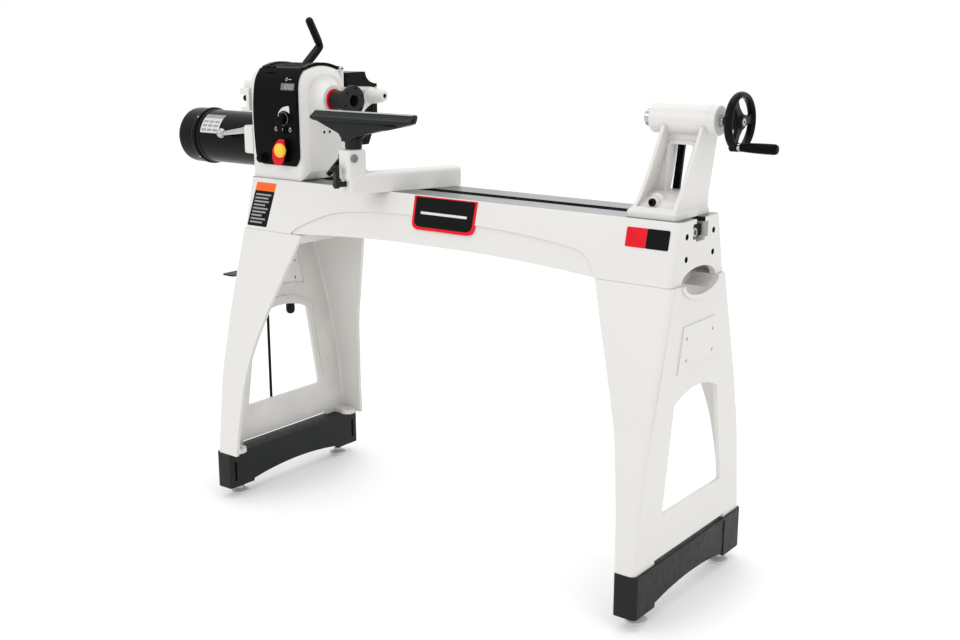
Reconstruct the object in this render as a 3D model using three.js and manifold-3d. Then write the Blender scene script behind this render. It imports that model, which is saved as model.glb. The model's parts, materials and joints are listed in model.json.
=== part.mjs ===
// A free-standing wood lathe. Millimetres, +Z up, floor at Z = 0, +X towards the tailstock, -Y
// towards the operator. The spindle axis lies along X at Y = 0.
import * as THREE from 'three';
import { mergeVertices } from 'three/addons/utils/BufferGeometryUtils.js';
import Module from 'manifold-3d';

const wasm = await Module();
wasm.setup();

// ---- driving dimensions ----------------------------------------------------------------------
const gap = 0.3; // clearance between pieces that touch
const spindleZ = 1090; // height of the spindle axis
const bedTop = 880;
const seam = 743; // where the bed casting sits on the legs
const legFoot = 131; // where the legs sit on the foot bases
const baseBottom = 31; // underside of the foot bases
const footY = 198; // leveling feet from the middle of the foot base
const bedHalf = 657.5; // half length of the bed
const bedMid = -13.5; // X of the middle of the bed
const wayHalf = 20; // half width of the slot between the ways
const wayThick = 14;
const flare = [[legFoot, 256], [352, 230], [506, 194], [620, 162], [seam, 125], [bedTop, 93]];
const corner = 12; // chamfer of the bed's and legs' outer corners
const headX = -667; // left face of the headstock
const headLength = 197;
const cheekHalf = 86; // half depth of the headstock
const cavity = [22, 155]; // pulley space between the headstock cheeks
const tailX = 501; // left end of the tailstock base
const banjoX = -159; // clamp stud of the banjo
const banjoTurn = -20.6; // degrees the banjo stands away from square
const restTurn = 20.6; // degrees the tool rest is turned on the banjo, which sets it along the bed
const restPost = -176; // post axis along the banjo arm
const motor = { y: 30, z: 967, radius: 77, end: -279, fanEnd: -358 };
const crankEnd = 321; // end of the crank handle from the tailstock's left end
const clampHalf = 40; // half width of the clamp plates under the ways
const deg = Math.PI / 180;

// ---- solids ----------------------------------------------------------------------------------
const X = new THREE.Vector3(1, 0, 0);
const Y = new THREE.Vector3(0, 1, 0);
const Z = new THREE.Vector3(0, 0, 1);
// Each basis carries a flat shape's two directions and its thickness to world directions.
const slabBasis = {
  x: new THREE.Matrix4().makeBasis(Y, Z, X),
  y: new THREE.Matrix4().makeBasis(X, Z, Y.clone().negate()),
  z: new THREE.Matrix4(),
};
// Each basis carries a turned profile's own axis, which is Y, to a world direction.
const latheBasis = {
  x: new THREE.Matrix4().makeBasis(Z, X, Y),
  y: new THREE.Matrix4(),
  z: new THREE.Matrix4().makeBasis(X, Z, Y.clone().negate()),
};

// Welds a three.js geometry, drops flat triangles, turns its faces outwards and makes a solid.
function solid(geometry) {
  const bare = new THREE.BufferGeometry();
  bare.setAttribute('position', geometry.getAttribute('position'));
  if (geometry.index) bare.setIndex(geometry.index);
  const welded = mergeVertices(bare, 1e-3);
  const position = welded.getAttribute('position');
  const index = welded.index.array;
  const triangles = [];
  const [a, b, c] = [new THREE.Vector3(), new THREE.Vector3(), new THREE.Vector3()];
  let volume = 0;
  for (let i = 0; i < index.length; i += 3) {
    const [p, q, r] = index.slice(i, i + 3);
    if (p === q || q === r || r === p) continue;
    triangles.push([p, q, r]);
    a.fromBufferAttribute(position, p);
    b.fromBufferAttribute(position, q);
    c.fromBufferAttribute(position, r);
    volume += a.dot(b.cross(c));
  }
  const facing = volume < 0 ? triangles.map(([p, q, r]) => [p, r, q]) : triangles;
  const vertProperties = new Float32Array(position.array);
  const triVerts = new Uint32Array(facing.flat());
  return new wasm.Manifold(new wasm.Mesh({ numProp: 3, vertProperties, triVerts }));
}

function box(x0, x1, y0, y1, z0, z1) {
  const geometry = new THREE.BoxGeometry(x1 - x0, y1 - y0, z1 - z0);
  return solid(geometry.translate((x0 + x1) / 2, (y0 + y1) / 2, (z0 + z1) / 2));
}

// A flat shape given a thickness along x (shape in Y, Z), y (shape in X, Z) or z (shape in X, Y).
function slab(axis, shape, from, to, curveSegments = 4) {
  const depth = to - from;
  const geometry = new THREE.ExtrudeGeometry(shape, { depth, curveSegments, bevelEnabled: false });
  geometry.translate(0, 0, axis === 'y' ? -to : from);
  return solid(geometry.applyMatrix4(slabBasis[axis]));
}

// A profile of [radius, distance along the axis] turned about an axis through `at`.
function turned(axis, profile, at = [0, 0, 0], segments = 16) {
  const points = profile.map(([r, t]) => new THREE.Vector2(r, t));
  const hollow = profile[0][0] > 0;
  if (hollow) points.push(points[0].clone());
  const geometry = new THREE.LatheGeometry(points, segments);
  return solid(geometry.applyMatrix4(latheBasis[axis]).translate(...at));
}

function rod(axis, radius, from, to, at = [0, 0, 0], segments = 8) {
  return turned(axis, [[0, from], [radius, from], [radius, to], [0, to]], at, segments);
}

function tube(axis, inner, outer, from, to, at = [0, 0, 0], segments = 16) {
  const profile = [[inner, from], [outer, from], [outer, to], [inner, to]];
  return turned(axis, profile, at, segments);
}

// Radius for a faceted bore that clears a shaft of this radius.
function around(radius, segments = 8) {
  return (radius + gap) / Math.cos(Math.PI / segments);
}

// Rings of equal point count, stacked in order, with flat ends.
function loft(rings) {
  const count = rings[0].length;
  const index = [];
  for (let level = 0; level + 1 < rings.length; level++) {
    for (let i = 0; i < count; i++) {
      const here = level * count + i;
      const next = level * count + ((i + 1) % count);
      index.push(here, next, next + count, here, next + count, here + count);
    }
  }
  const top = (rings.length - 1) * count;
  for (let i = 1; i + 1 < count; i++) index.push(0, i + 1, i, top, top + i, top + i + 1);
  const geometry = new THREE.BufferGeometry();
  geometry.setAttribute('position', new THREE.Float32BufferAttribute(rings.flat(2), 3));
  geometry.setIndex(index);
  return solid(geometry);
}

// Upright block whose half depth changes with height. Levels are [z, half depth]; x0 and x1 are
// its ends and c0 and c1 the chamfers of the corners at those ends.
function flaredBlock(levels, x0, x1, c0, c1) {
  return loft(levels.map(([z, w]) => [
    [x0 + c0, -w, z], [x1 - c1, -w, z], [x1, c1 - w, z], [x1, w - c1, z],
    [x1 - c1, w, z], [x0 + c0, w, z], [x0, w - c0, z], [x0, c0 - w, z],
  ]));
}

function polygon(points) {
  return new THREE.Shape(points.map(([u, v]) => new THREE.Vector2(u, v)));
}

// A closed outline with every corner rounded by the same radius.
function rounded(points, radius) {
  const shape = new THREE.Shape();
  const corners = points.map(([u, v]) => new THREE.Vector2(u, v));
  const step = (from, to) => to.clone().sub(from).setLength(radius).add(from);
  corners.forEach((here, i) => {
    const before = corners[(i + corners.length - 1) % corners.length];
    const after = corners[(i + 1) % corners.length];
    const start = step(here, before);
    const end = step(here, after);
    if (i === 0) shape.moveTo(start.x, start.y);
    else shape.lineTo(start.x, start.y);
    shape.quadraticCurveTo(here.x, here.y, end.x, end.y);
  });
  shape.closePath();
  return shape;
}

function smooth(points, divisions) {
  const curve = new THREE.SplineCurve(points.map(([u, v]) => new THREE.Vector2(u, v)));
  return curve.getPoints(divisions).map((p) => [p.x, p.y]);
}

const join = (first, ...rest) => rest.reduce((whole, piece) => whole.add(piece), first);
const cut = (first, ...rest) => rest.reduce((whole, piece) => whole.subtract(piece), first);

// ---- materials and scene pieces ------------------------------------------------------------------
function finish(color, roughness, metalness) {
  return new THREE.MeshStandardMaterial({ color, roughness, metalness });
}

const looks = {
  whitePaint: finish(0xe9e7e2, 0.35, 0.0),
  darkCasting: finish(0x34383a, 0.5, 0.2),
  blackPaint: finish(0x141516, 0.3, 0.1),
  blackPlastic: finish(0x101112, 0.4, 0.0),
  machined: finish(0xb4b8b8, 0.3, 0.9),
  steel: finish(0x8e9294, 0.35, 0.9),
  chrome: finish(0xdadada, 0.12, 1.0),
  red: finish(0xd8141c, 0.35, 0.0),
  rubber: finish(0x1c1c1c, 0.8, 0.0),
  pad: finish(0xd8d8d4, 0.6, 0.0),
  copper: finish(0x9a5a34, 0.4, 0.8),
};

const lathe = new THREE.Group();

function group(parent, x, y = 0, z = 0, turn = 0) {
  const made = new THREE.Group();
  made.position.set(x, y, z);
  made.rotation.z = turn * deg;
  parent.add(made);
  return made;
}

function add(parent, name, body, material, place = [0, 0, 0]) {
  const { vertProperties, triVerts } = body.getMesh();
  const geometry = new THREE.BufferGeometry();
  geometry.setAttribute('position', new THREE.BufferAttribute(vertProperties, 3));
  geometry.setIndex(new THREE.BufferAttribute(triVerts, 1));
  geometry.computeVertexNormals();
  const mesh = new THREE.Mesh(geometry, material);
  mesh.name = name;
  mesh.position.set(...place);
  parent.add(mesh);
}

// ---- stand ------------------------------------------------------------------------------------
const halfDepth = (z) => {
  const i = flare.findIndex(([level]) => z <= level);
  const [[z0, w0], [z1, w1]] = [flare[Math.max(i, 1) - 1], flare[Math.max(i, 1)]];
  return w0 + ((w1 - w0) * (z - z0)) / (z1 - z0);
};
const inset = (levels, by) => levels.map(([z, w]) => [z, w - by]);

// The grip opening that crosses the seam between bed and leg.
const gripOpening = new THREE.Shape().absellipse(0, seam + 1, 80, 30, 0, 2 * Math.PI);

function bedCasting() {
  const levels = [[seam + gap, 125], [bedTop - 6, halfDepth(bedTop - 6)], [bedTop, 92]];
  const wall = 11;
  const endWall = 14;
  let body = flaredBlock(levels, -bedHalf, bedHalf, corner, corner);
  // Shallow waist pressed into both long faces between the legs.
  const waistLine = smooth([[-485, 735], [-458, 762], [-347, 807], [-242, 822], [-108, 829],
    [120, 824], [275, 816], [405, 801], [442, 783], [458, 762], [470, 735]], 20);
  const depth = 4;
  const core = flaredBlock(inset(levels, depth), -bedHalf, bedHalf, corner, corner);
  body = body.subtract(slab('y', polygon(waistLine), -200, 200).subtract(core));
  // Long arch of the lower edge.
  const arch = new THREE.Shape().moveTo(-470, 700).lineTo(-470, seam);
  arch.quadraticCurveTo(-300, 758, -120, 761).lineTo(120, 761).quadraticCurveTo(300, 758, 470, seam);
  body = body.subtract(slab('y', arch.lineTo(470, 700), -200, 200));
  // Hollow underneath, with the plates of the two ways left on top.
  const under = [[seam - 8, 125], [bedTop - wayThick, halfDepth(bedTop - wayThick)]];
  const hollowEnd = bedHalf - endWall;
  body = body.subtract(flaredBlock(inset(under, wall), -hollowEnd, hollowEnd, 0.5, 0.5));
  const web = flaredBlock(inset(under, wall / 2), -hollowEnd, hollowEnd, 0.5, 0.5);
  for (const x of [-300, 0, 300]) {
    body = body.add(web.intersect(box(x - 5, x + 5, -200, 200, 764, 790)));
  }
  // Slot between the ways, opening into a wider slot in the end walls.
  body = cut(body, box(-700, 700, -wayHalf, wayHalf, 830, 900),
    box(-700, 700, -35, 35, 836, bedTop - wayThick + 4), slab('x', gripOpening, -700, 700));
  for (const y of [-62, 62]) {
    for (const z of [797, 846]) body = body.subtract(rod('x', 4, -700, 700, [0, y, z], 10));
  }
  return body;
}

// A leg casting for the right end: an end plate with a front and a rear flange, open inwards.
function legCasting(flangeExtra) {
  const between = flare.slice(1, 4);
  const levels = [[legFoot + gap, flare[0][1]], ...between, [seam - gap, flare[4][1]]];
  const outer = 664;
  const plate = 10;
  let body = flaredBlock(levels, 400, outer, 0.5, corner);
  const inside = [[legFoot - 10, 257], ...between, [seam - 12, halfDepth(seam - 12)]];
  body = body.subtract(flaredBlock(inset(inside, plate), 390, outer - plate, 0.5, 4));
  // Curved inner edge of the two flanges.
  const edge = smooth([[617, 100], [612, 180], [601, 300], [581, 420], [542, 542], [499, 657],
    [467, 745], [457, 765]], 10).map(([u, z]) => [u - flangeExtra, z]);
  body = body.subtract(slab('y', polygon([...edge, [380, 765], [380, 100]]), -300, 300));
  // Window with an arched head.
  const window = new THREE.Shape().moveTo(-136, 238).lineTo(136, 238);
  window.quadraticCurveTo(143, 238, 141, 247).lineTo(102, 480).quadraticCurveTo(0, 528, -102, 480);
  window.lineTo(-141, 247).quadraticCurveTo(-143, 238, -136, 238);
  body = body.subtract(slab('x', window, 600, 700));
  // Raised pad on the end plate, pressed in from behind, with four bolt holes.
  const padOutline = (by) => {
    const pad = new THREE.Shape().moveTo(-97 + by, 548 + by).quadraticCurveTo(0, 574, 97 - by, 548 + by);
    return pad.lineTo(75 - by, 651 - by).lineTo(by - 75, 651 - by).closePath();
  };
  body = body.add(slab('x', padOutline(0), outer - 3, outer + 3));
  body = body.subtract(slab('x', padOutline(5), outer - plate - 10, outer - plate + 3));
  for (const y of [-61, 61]) {
    for (const z of [574, 623]) body = body.subtract(rod('x', 4, 600, 700, [0, y, z], 10));
  }
  // Lip under the grip opening.
  const lip = new THREE.Shape().absellipse(0, seam + 1, 88, 38, Math.PI, 2 * Math.PI);
  body = body.add(slab('x', lip, outer - 3, outer + 4, 16).subtract(box(0, 700, -200, 200, seam - gap, 800)));
  body = body.subtract(slab('x', gripOpening, 600, 700));
  // Daylight under the end plate and bolting tabs in the two lower corners.
  body = body.subtract(box(600, 700, -168, 168, 100, 140));
  for (const side of [-1, 1]) {
    const y = side * 222;
    const tab = rod('z', 24, legFoot + gap, legFoot + 12, [632 - flangeExtra / 2, y, 0], 14);
    const heel = box(632 - flangeExtra / 2, outer - 5, y - 20, y + 20, legFoot + gap, legFoot + 12);
    const hole = rod('z', 5, 100, 200, [626 - flangeExtra / 2, side * 218, 0], 10);
    body = body.add(tab.add(heel).intersect(flaredBlock(levels, 500, outer, 0.5, corner))).subtract(hole);
  }
  return body;
}

function footBase() {
  const half = 256;
  const levels = [[baseBottom, half], [legFoot, half]];
  let body = flaredBlock(levels, 613, 669.5, 3, corner);
  body = body.subtract(box(622, 661, -244, 244, 10, 118));
  for (const y of [-footY, footY]) body = body.add(rod('z', 16, baseBottom, 120, [641, y, 0]));
  // Stepped arch of the underside, a shallow panel on the outside, slits near the inner corners.
  const arch = new THREE.Shape().moveTo(-169, 10).lineTo(-169, 38);
  arch.quadraticCurveTo(0, 68, 169, 38).lineTo(169, 10);
  body = body.subtract(slab('x', arch, 600, 700, 12));
  body = body.subtract(box(667, 700, -168, 168, 20, 124));
  for (const y of [-236, 236]) body = body.subtract(box(600, 625, y - 4, y + 4, 50, 105));
  return body;
}

function levelingFoot() {
  const pad = turned('z', [[0, 0], [25, 0], [26, 2], [25, 7], [13, 11], [6, 11], [6, baseBottom - gap],
    [0, baseBottom - gap]], [0, 0, 0], 16);
  return pad.add(rod('z', 11, 13, 21, [0, 0, 0], 6));
}

function bedStop() {
  return box(629, 643, -31, 31, 838, 863).add(rod('x', 10, 640, 655, [0, -20, 850.5], 12));
}

function toolShelf() {
  const back = rounded([[-70, 562], [70, 562], [70, 614], [-70, 614]], 8);
  const plan = rounded([[667.4, -100], [715, -100], [715, 165], [667.4, 165]], 8);
  let body = slab('x', back, 667.4, 670.4).add(slab('z', plan, 610, 614));
  for (const [u, v, r] of shelfTools) {
    body = body.subtract(box(u, 720, v - r, v + r, 600, 620));
    body = body.subtract(rod('z', r, 600, 620, [u, v, 0], 8));
  }
  return body;
}

// Notches of the tool shelf: place and half width, in the left leg's own frame.
const shelfTools = [[690, 22, 4.6], [690, -68, 5.6]];

function knockoutBar() {
  const [u, v] = shelfTools[0];
  const profile = [[0, 150], [3, 150], [4, 153], [4, 614.4], [9, 614.4], [9, 636], [7, 640], [0, 640]];
  return turned('z', profile, [u, v, 0], 12);
}

function faceplateWrench() {
  const [u, v] = shelfTools[1];
  const profile = [[0, 460], [7, 461], [12, 466], [13, 474], [13, 556], [5, 560], [5, 614.4], [11, 614.4],
    [11, 634], [0, 634]];
  return turned('z', profile, [u, v, 0], 12);
}

const bed = group(lathe, bedMid);
const rightLeg = group(bed, 0);
const leftLeg = group(bed, 0, 0, 0, 180);
add(bed, 'bed_casting', bedCasting(), looks.whitePaint);
add(rightLeg, 'leg_right', legCasting(0), looks.whitePaint);
add(leftLeg, 'leg_left', legCasting(28), looks.whitePaint);
add(rightLeg, 'bed_end_stop', bedStop(), looks.blackPaint);
for (const [side, end] of [['right', rightLeg], ['left', leftLeg]]) {
  add(end, `foot_base_${side}`, footBase(), looks.darkCasting);
  for (const [place, y] of [['a', -footY], ['b', footY]]) {
    add(end, `leveling_foot_${side}_${place}`, levelingFoot(), looks.pad, [641, y, 0]);
  }
}
add(leftLeg, 'tool_shelf', toolShelf(), looks.steel);
add(leftLeg, 'knockout_bar', knockoutBar(), looks.darkCasting);
add(leftLeg, 'faceplate_wrench', faceplateWrench(), looks.blackPlastic);

// A clamp plate that hangs under the ways on a stud through the slot.
function clampPlate(halfX, studTop) {
  const top = bedTop - wayThick - 2;
  const plate = slab('z', rounded([[-halfX, -clampHalf], [halfX, -clampHalf], [halfX, clampHalf],
    [-halfX, clampHalf]], 8), top - 16, top);
  const nut = rod('z', 13, top - 30, top - 16, [0, 0, 0], 6);
  return join(plate, rod('z', 8, top - 24, studTop, [0, 0, 0]), nut);
}

// ---- headstock --------------------------------------------------------------------------------
const head = group(lathe, headX);
const axisAt = [0, 0, spindleZ];
const motorAt = [0, motor.y, motor.z];
const motorPivot = { y: 72, z: 945 };
const coverHinge = { y: 72, z: 1170 };
const headClamp = { x: 97, z: 893 };
const tensionShaft = { x: 35, y: 94, z: 1148 };
const lockHub = { x: -46, y: -68, z: 1001 };

// Outer form of the headstock, grown outwards by `by`. Its right end slopes in to a flat face.
function headForm(by = 0) {
  const half = cheekHalf + by;
  const shape = new THREE.Shape().moveTo(-half, bedTop + gap).lineTo(half, bedTop + gap);
  shape.lineTo(half, 1112).quadraticCurveTo(half, 1152 + by, 62, 1166 + by);
  shape.quadraticCurveTo(0, 1190 + by, -62, 1166 + by).quadraticCurveTo(-half, 1152 + by, -half, 1112);
  const outline = shape.getPoints(8);
  const middle = 1030;
  const levels = [[0, 5], [5, 0], [headLength - 16, 0], [headLength - 8, 8], [headLength + by, 24]];
  return loft(levels.map(([x, slope]) => outline.map((p) => {
    const z = p.y < 900 ? p.y : middle + (p.y - middle) * (1 - slope / 140);
    return [x, p.x * (1 - slope / half), z];
  })));
}

function headstockCasting() {
  const [left, right] = cavity;
  let body = headForm();
  body = body.subtract(box(left, right, -130, 74, 905, 1210));
  const dome = turned('x', [[0, 190], [60, 190], [60, 197.5], [54, 199], [46, 207], [41, 218], [38, 227],
    [0, 227]], axisAt, 24);
  const hubs = [rod('x', 38, right - 14, right + 2, axisAt), rod('x', 38, left - 2, left + 12, axisAt)];
  body = join(body, dome, ...hubs);
  // Bearing seats and the way through for the spindle.
  const seat = around(26, 16);
  body = cut(body, rod('x', seat, right - 20, 205, axisAt, 16), rod('x', 20, 100, 240, axisAt, 16),
    rod('x', seat, 6, left + 20, axisAt, 16), rod('x', 20, -10, 100, axisAt, 16));
  // Way through for the motor shaft, the clamp stud and the clamp shaft.
  body = cut(body, rod('x', 34, -10, left + 2, motorAt), rod('z', 9, 870, 910, [headClamp.x, 0, 0]),
    rod('y', around(6), -68, 120, [headClamp.x, 0, headClamp.z]));
  // Motor pivot stud, lock bracket with its ear, and the two lugs that hold the cover's hinge pin.
  body = join(body, rod('x', 6, -12, 4, [0, motorPivot.y, motorPivot.z]),
    slab('x', rounded([[-86, 941], [-54, 941], [-54, 1017], [-86, 1017]], 7), -30, 2),
    box(-58, -24, -56, -46, lockHub.z - 11, lockHub.z + 11));
  for (const [from, to] of [[3, 20], [183, 192]]) {
    const lug = rod('x', 6, from, to, [0, coverHinge.y, coverHinge.z]);
    body = join(body, lug, box(from, to, coverHinge.y - 6, coverHinge.y + 5, 1120, coverHinge.z));
  }
  body = body.subtract(rod('y', around(4), -80, -40, [lockHub.x, 0, lockHub.z]));
  return body.add(rod('x', 2.2, 10, 190, [0, coverHinge.y, coverHinge.z]));
}

// Front face of the control panel, from its foot to the cover, as [y, z].
const panelFace = smooth([[-90, 917], [-95, 965], [-98, 1040], [-95, 1098], [-86, 1142], [-66, 1171]], 10);
const panelSide = [21, 183];
const switchHole = { x0: 104, x1: 145, z0: 928, z1: 984 };
const panelY = (z) => {
  const i = Math.max(1, panelFace.findIndex(([, level]) => z <= level));
  const [[y0, z0], [y1, z1]] = [panelFace[i - 1], panelFace[i]];
  return y0 + ((y1 - y0) * (z - z0)) / (z1 - z0);
};

function controlPanel() {
  const { x0, x1, z0, z1 } = switchHole;
  const section = new THREE.Shape(panelFace.map(([y, z]) => new THREE.Vector2(y, z)));
  section.lineTo(-63, 1169).quadraticCurveTo(-86.9, 1154, -86.9, 1112).lineTo(-86.9, 917);
  const [left, right] = panelSide;
  const front = polygon([[left, 938], [left + 20, 918], [right - 14, 918], [right, 940],
    [right, 1200], [left, 1200]]);
  return cut(slab('x', section, left, right, 10).intersect(slab('y', front, -130, -60)),
    box(x0, x1, -140, -80, z0, z1));
}

// Hinged lid: a thin tray between two raised rims, with a knuckle along its rear edge.
function topCover() {
  const [left, right] = [panelSide[0] + 2, panelSide[1] - 1];
  const band = (low, high) => {
    const shape = new THREE.Shape().moveTo(-61, 1167.5 + low);
    shape.quadraticCurveTo(0, 1191 + low, 61, 1167.5 + low).lineTo(63, 1167.5 + high);
    return shape.quadraticCurveTo(0, 1191 + high, -61, 1167.5 + high);
  };
  let body = slab('x', band(1, 7), left, right, 8).subtract(slab('x', band(4, 30), left + 15, right - 15, 8));
  body = join(body, box(left, right, 58, coverHinge.y, coverHinge.z - 1, coverHinge.z + 3),
    rod('x', 5, left, right, [0, coverHinge.y, coverHinge.z]));
  const latch = box(45, 70, -70, -53, 1160, 1190);
  return cut(body, rod('x', around(2.4), left - 5, right + 5, [0, coverHinge.y, coverHinge.z]), latch);
}

function inverterBox() {
  const side = new THREE.Shape().moveTo(112, 955).lineTo(200, 955).lineTo(238, 1034).lineTo(238, 1122);
  side.quadraticCurveTo(196, 1124, 190, 1156).lineTo(112, 1156);
  const [left, right] = [22, 167];
  let body = slab('x', side, left, right, 6);
  for (const x of [40, 140]) body = body.add(box(x, x + 15, cheekHalf + gap, 114, 1010, 1100));
  for (let i = 0; i < 9; i++) {
    const y = 124 + 11 * i;
    body = body.subtract(box(right - 3, 200, y, y + 5, 1044, 1112));
  }
  return body;
}

// White casting bolted to the right cheek, reaching back to a boss with a hole along X.
function rearArm() {
  const from = headLength - 14;
  const outline = new THREE.Shape().moveTo(66, 1062).lineTo(66, 1117).lineTo(100, 1119).lineTo(150, 1118);
  outline.quadraticCurveTo(171, 1110, 171, 1095).quadraticCurveTo(170, 1073, 150, 1072);
  outline.quadraticCurveTo(120, 1062, 108, 1040).lineTo(90, 1030).lineTo(66, 1045);
  const pocket = polygon([[98, 1056], [98, 1110], [124, 1110], [120, 1088], [126, 1076]]);
  const boss = turned('x', [[0, from], [22, from], [22, 238], [16, 272], [14, 275], [0, 275]],
    [0, 148, 1095]);
  const wall = slab('x', outline, from, 226).subtract(slab('x', pocket, 214, 230));
  const body = cut(wall, headForm(gap)).add(boss);
  return cut(body, rod('x', 5.5, 240, 300, [0, 148, 1095], 10));
}

function knob(radius, length, z, x) {
  const rim = radius + 1.5;
  const y = Math.min(panelY(z - rim), panelY(z), panelY(z + rim)) - gap;
  const profile = [[0, y], [rim, y], [rim, y - 3], [radius, y - 4], [radius - 1, y - length + 2],
    [radius - 3, y - length], [0, y - length]];
  return turned('y', profile, [x, 0, z], 16);
}

function switchBody() {
  const { x0, x1, z0, z1 } = switchHole;
  return box(x0 + gap, x1 - gap, -102, -75, z0 + gap, z1 - gap);
}

// Red paddle hinged along its top edge in front of the switch.
function stopPaddle() {
  const outline = new THREE.Shape().moveTo(127, 989).lineTo(147, 989).lineTo(149, 955);
  outline.lineTo(144, 938).quadraticCurveTo(138, 921, 120, 920).quadraticCurveTo(104, 922, 102, 940);
  outline.lineTo(103, 960).quadraticCurveTo(112, 978, 127, 989);
  const button = turned('y', [[0, -122], [14, -122], [19, -118], [19, -108], [0, -108]], [134.6, 0, 961], 16);
  return slab('y', outline, -112, -106, 8).add(button);
}

function indexBracket() {
  let body = slab('x', rounded([[-92, 1056], [-54, 1056], [-54, 1117], [-92, 1117]], 5), -33, -gap);
  body = join(body, rod('x', 11, -30, -gap, [0, -69, 1126]), box(-30, -gap, -80, -58, 1110, 1126));
  return cut(body, box(-40, -10, -98, -66, 1066, 1100), rod('y', around(4), -78, -48, [-22, 0, spindleZ]),
    rod('z', 4, 1095, 1118, [-22, -76, 0], 10), rod('x', 3.5, -40, 0, [0, -69, 1126], 10));
}

function indexPin() {
  const profile = [[0, -86], [7, -86], [8, -84], [8, -76.5], [4, -75], [4, -45], [3, -43], [0, -43]];
  return turned('y', profile, [-22, 0, spindleZ], 8);
}

function tensionLever() {
  const { x, y, z } = tensionShaft;
  const half = 10;
  const bar = polygon([[y - 7, z - 5], [y + 5, z - 5], [y + 4, 1166], [151, 1216], [152, 1226], [142, 1248],
    [134, 1245], [139, 1225], [88, 1180], [86, 1169]]);
  const grip = turned('z', [[0, 0], [9, 0], [11, 6], [11, 70], [8, 77], [0, 78]], [0, 0, 0], 12);
  const tilt = new THREE.Matrix4().makeRotationX(30 * deg).setPosition(x, 146, 1233);
  const shaft = rod('x', 4.5, x - 22, x + 22, [0, y, z], 10);
  return join(slab('x', bar, x - half, x + half), moved(grip, tilt), shaft);
}

// The same solid after a rotation and shift.
function moved(body, matrix) {
  const { vertProperties, triVerts } = body.getMesh();
  const geometry = new THREE.BufferGeometry();
  geometry.setAttribute('position', new THREE.BufferAttribute(vertProperties, 3));
  geometry.setIndex(new THREE.BufferAttribute(triVerts, 1));
  return solid(geometry.applyMatrix4(matrix));
}

function motorLockLever() {
  const { x, y, z } = lockHub;
  const arm = turned('x', [[0, 0], [9, 0], [8.5, 14], [6, 86], [0, 90]], [0, 0, 0], 10);
  const along = new THREE.Matrix4().makeRotationY(171.5 * deg).setPosition(x, y, z);
  const ball = new THREE.SphereGeometry(13.5, 12, 8).translate(-144, y, 988);
  const hub = turned('y', [[0, -78], [7, -78], [9, -75], [9, -57], [4, -57], [4, -45], [0, -45]],
    [x, 0, z], 12);
  return join(moved(arm, along), solid(ball), hub);
}

// Eccentric shaft through the headstock base, with a flat lever behind.
function headstockClampLever() {
  const { x, z } = headClamp;
  const bar = rounded([[-9, -7], [96, -6], [96, 6], [-9, 7]], 4);
  const blade = slab('y', bar, 101, 109).translate(x, 0, z);
  const grip = rod('y', 11, 101, 112, [x + 96, 0, z], 12);
  return join(blade, grip, rod('y', 11, 89, 110, [x, 0, z], 12), rod('y', 6, -66, 109, [x, 0, z], 10));
}

add(head, 'headstock_casting', headstockCasting(), looks.whitePaint);
add(head, 'control_panel', controlPanel(), looks.blackPlastic);
add(head, 'top_cover', topCover(), looks.blackPlastic);
add(head, 'inverter_box', inverterBox(), looks.blackPaint);
add(head, 'rear_arm', rearArm(), looks.whitePaint);
add(head, 'speed_knob', knob(15, 18, 1043, 137), looks.chrome);
add(head, 'direction_switch', knob(7, 9, 1012, 141), looks.blackPlastic);
add(head, 'panel_latch_knob', knob(12, 15, 934, 47), looks.blackPlastic);
add(head, 'switch_body', switchBody(), looks.blackPlastic);
add(head, 'stop_paddle', stopPaddle(), looks.red);
add(head, 'index_bracket', indexBracket(), looks.whitePaint);
add(head, 'index_pin', indexPin(), looks.blackPaint);
add(head, 'tension_lever', tensionLever(), looks.blackPaint);
add(head, 'motor_lock_lever', motorLockLever(), looks.chrome);
add(head, 'headstock_clamp_lever', headstockClampLever(), looks.blackPaint);
add(head, 'headstock_clamp_plate', clampPlate(34, 884), looks.steel, [headClamp.x, 0, 0]);

// ---- spindle, belt and motor ------------------------------------------------------------------
const belt = { x: 86, half: 6, spindleRadius: 42, motorRadius: 28 };

function pulley(radii, bore, at) {
  const width = 20;
  const start = belt.x - width * 1.5;
  const profile = [[bore, start]];
  radii.forEach((radius, i) => {
    const x = start + i * width;
    profile.push([radius + 6, x + 0.1], [radius, x + 4]);
    profile.push([radius, x + width - 4], [radius + 6, x + width - 0.1]);
  });
  profile.push([bore, start + 3 * width]);
  return turned('x', profile, at, 16);
}

function driveBelt() {
  const length = Math.hypot(motor.y, spindleZ - motor.z);
  const lean = Math.asin((belt.spindleRadius - belt.motorRadius) / length);
  const loop = (by) => {
    const shape = new THREE.Shape();
    shape.absarc(0, 0, belt.spindleRadius + by, -lean, Math.PI + lean);
    shape.absarc(0, -length, belt.motorRadius + by, Math.PI + lean, 2 * Math.PI - lean);
    return shape;
  };
  const ring = slab('x', loop(5), -belt.half, belt.half, 9).subtract(slab('x', loop(gap), -20, 20, 9));
  const tilt = new THREE.Matrix4().makeRotationX(Math.atan2(motor.y, spindleZ - motor.z));
  return moved(ring, tilt.setPosition(belt.x, 0, spindleZ));
}

// Outboard handwheel with twelve index holes round its rim.
function outboardHandwheel() {
  let body = turned('x', [[around(17, 16), -30], [34, -30], [40, -26], [40, -16], [24, -4],
    [around(17, 16), -4]], axisAt);
  for (let i = 0; i < 12; i++) {
    const hole = moved(rod('y', around(4.3, 6), -45, -31, [0, 0, 0], 6),
      new THREE.Matrix4().makeRotationX(30 * i * deg).setPosition(-22, 0, spindleZ));
    body = body.subtract(hole);
  }
  return body;
}

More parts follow.
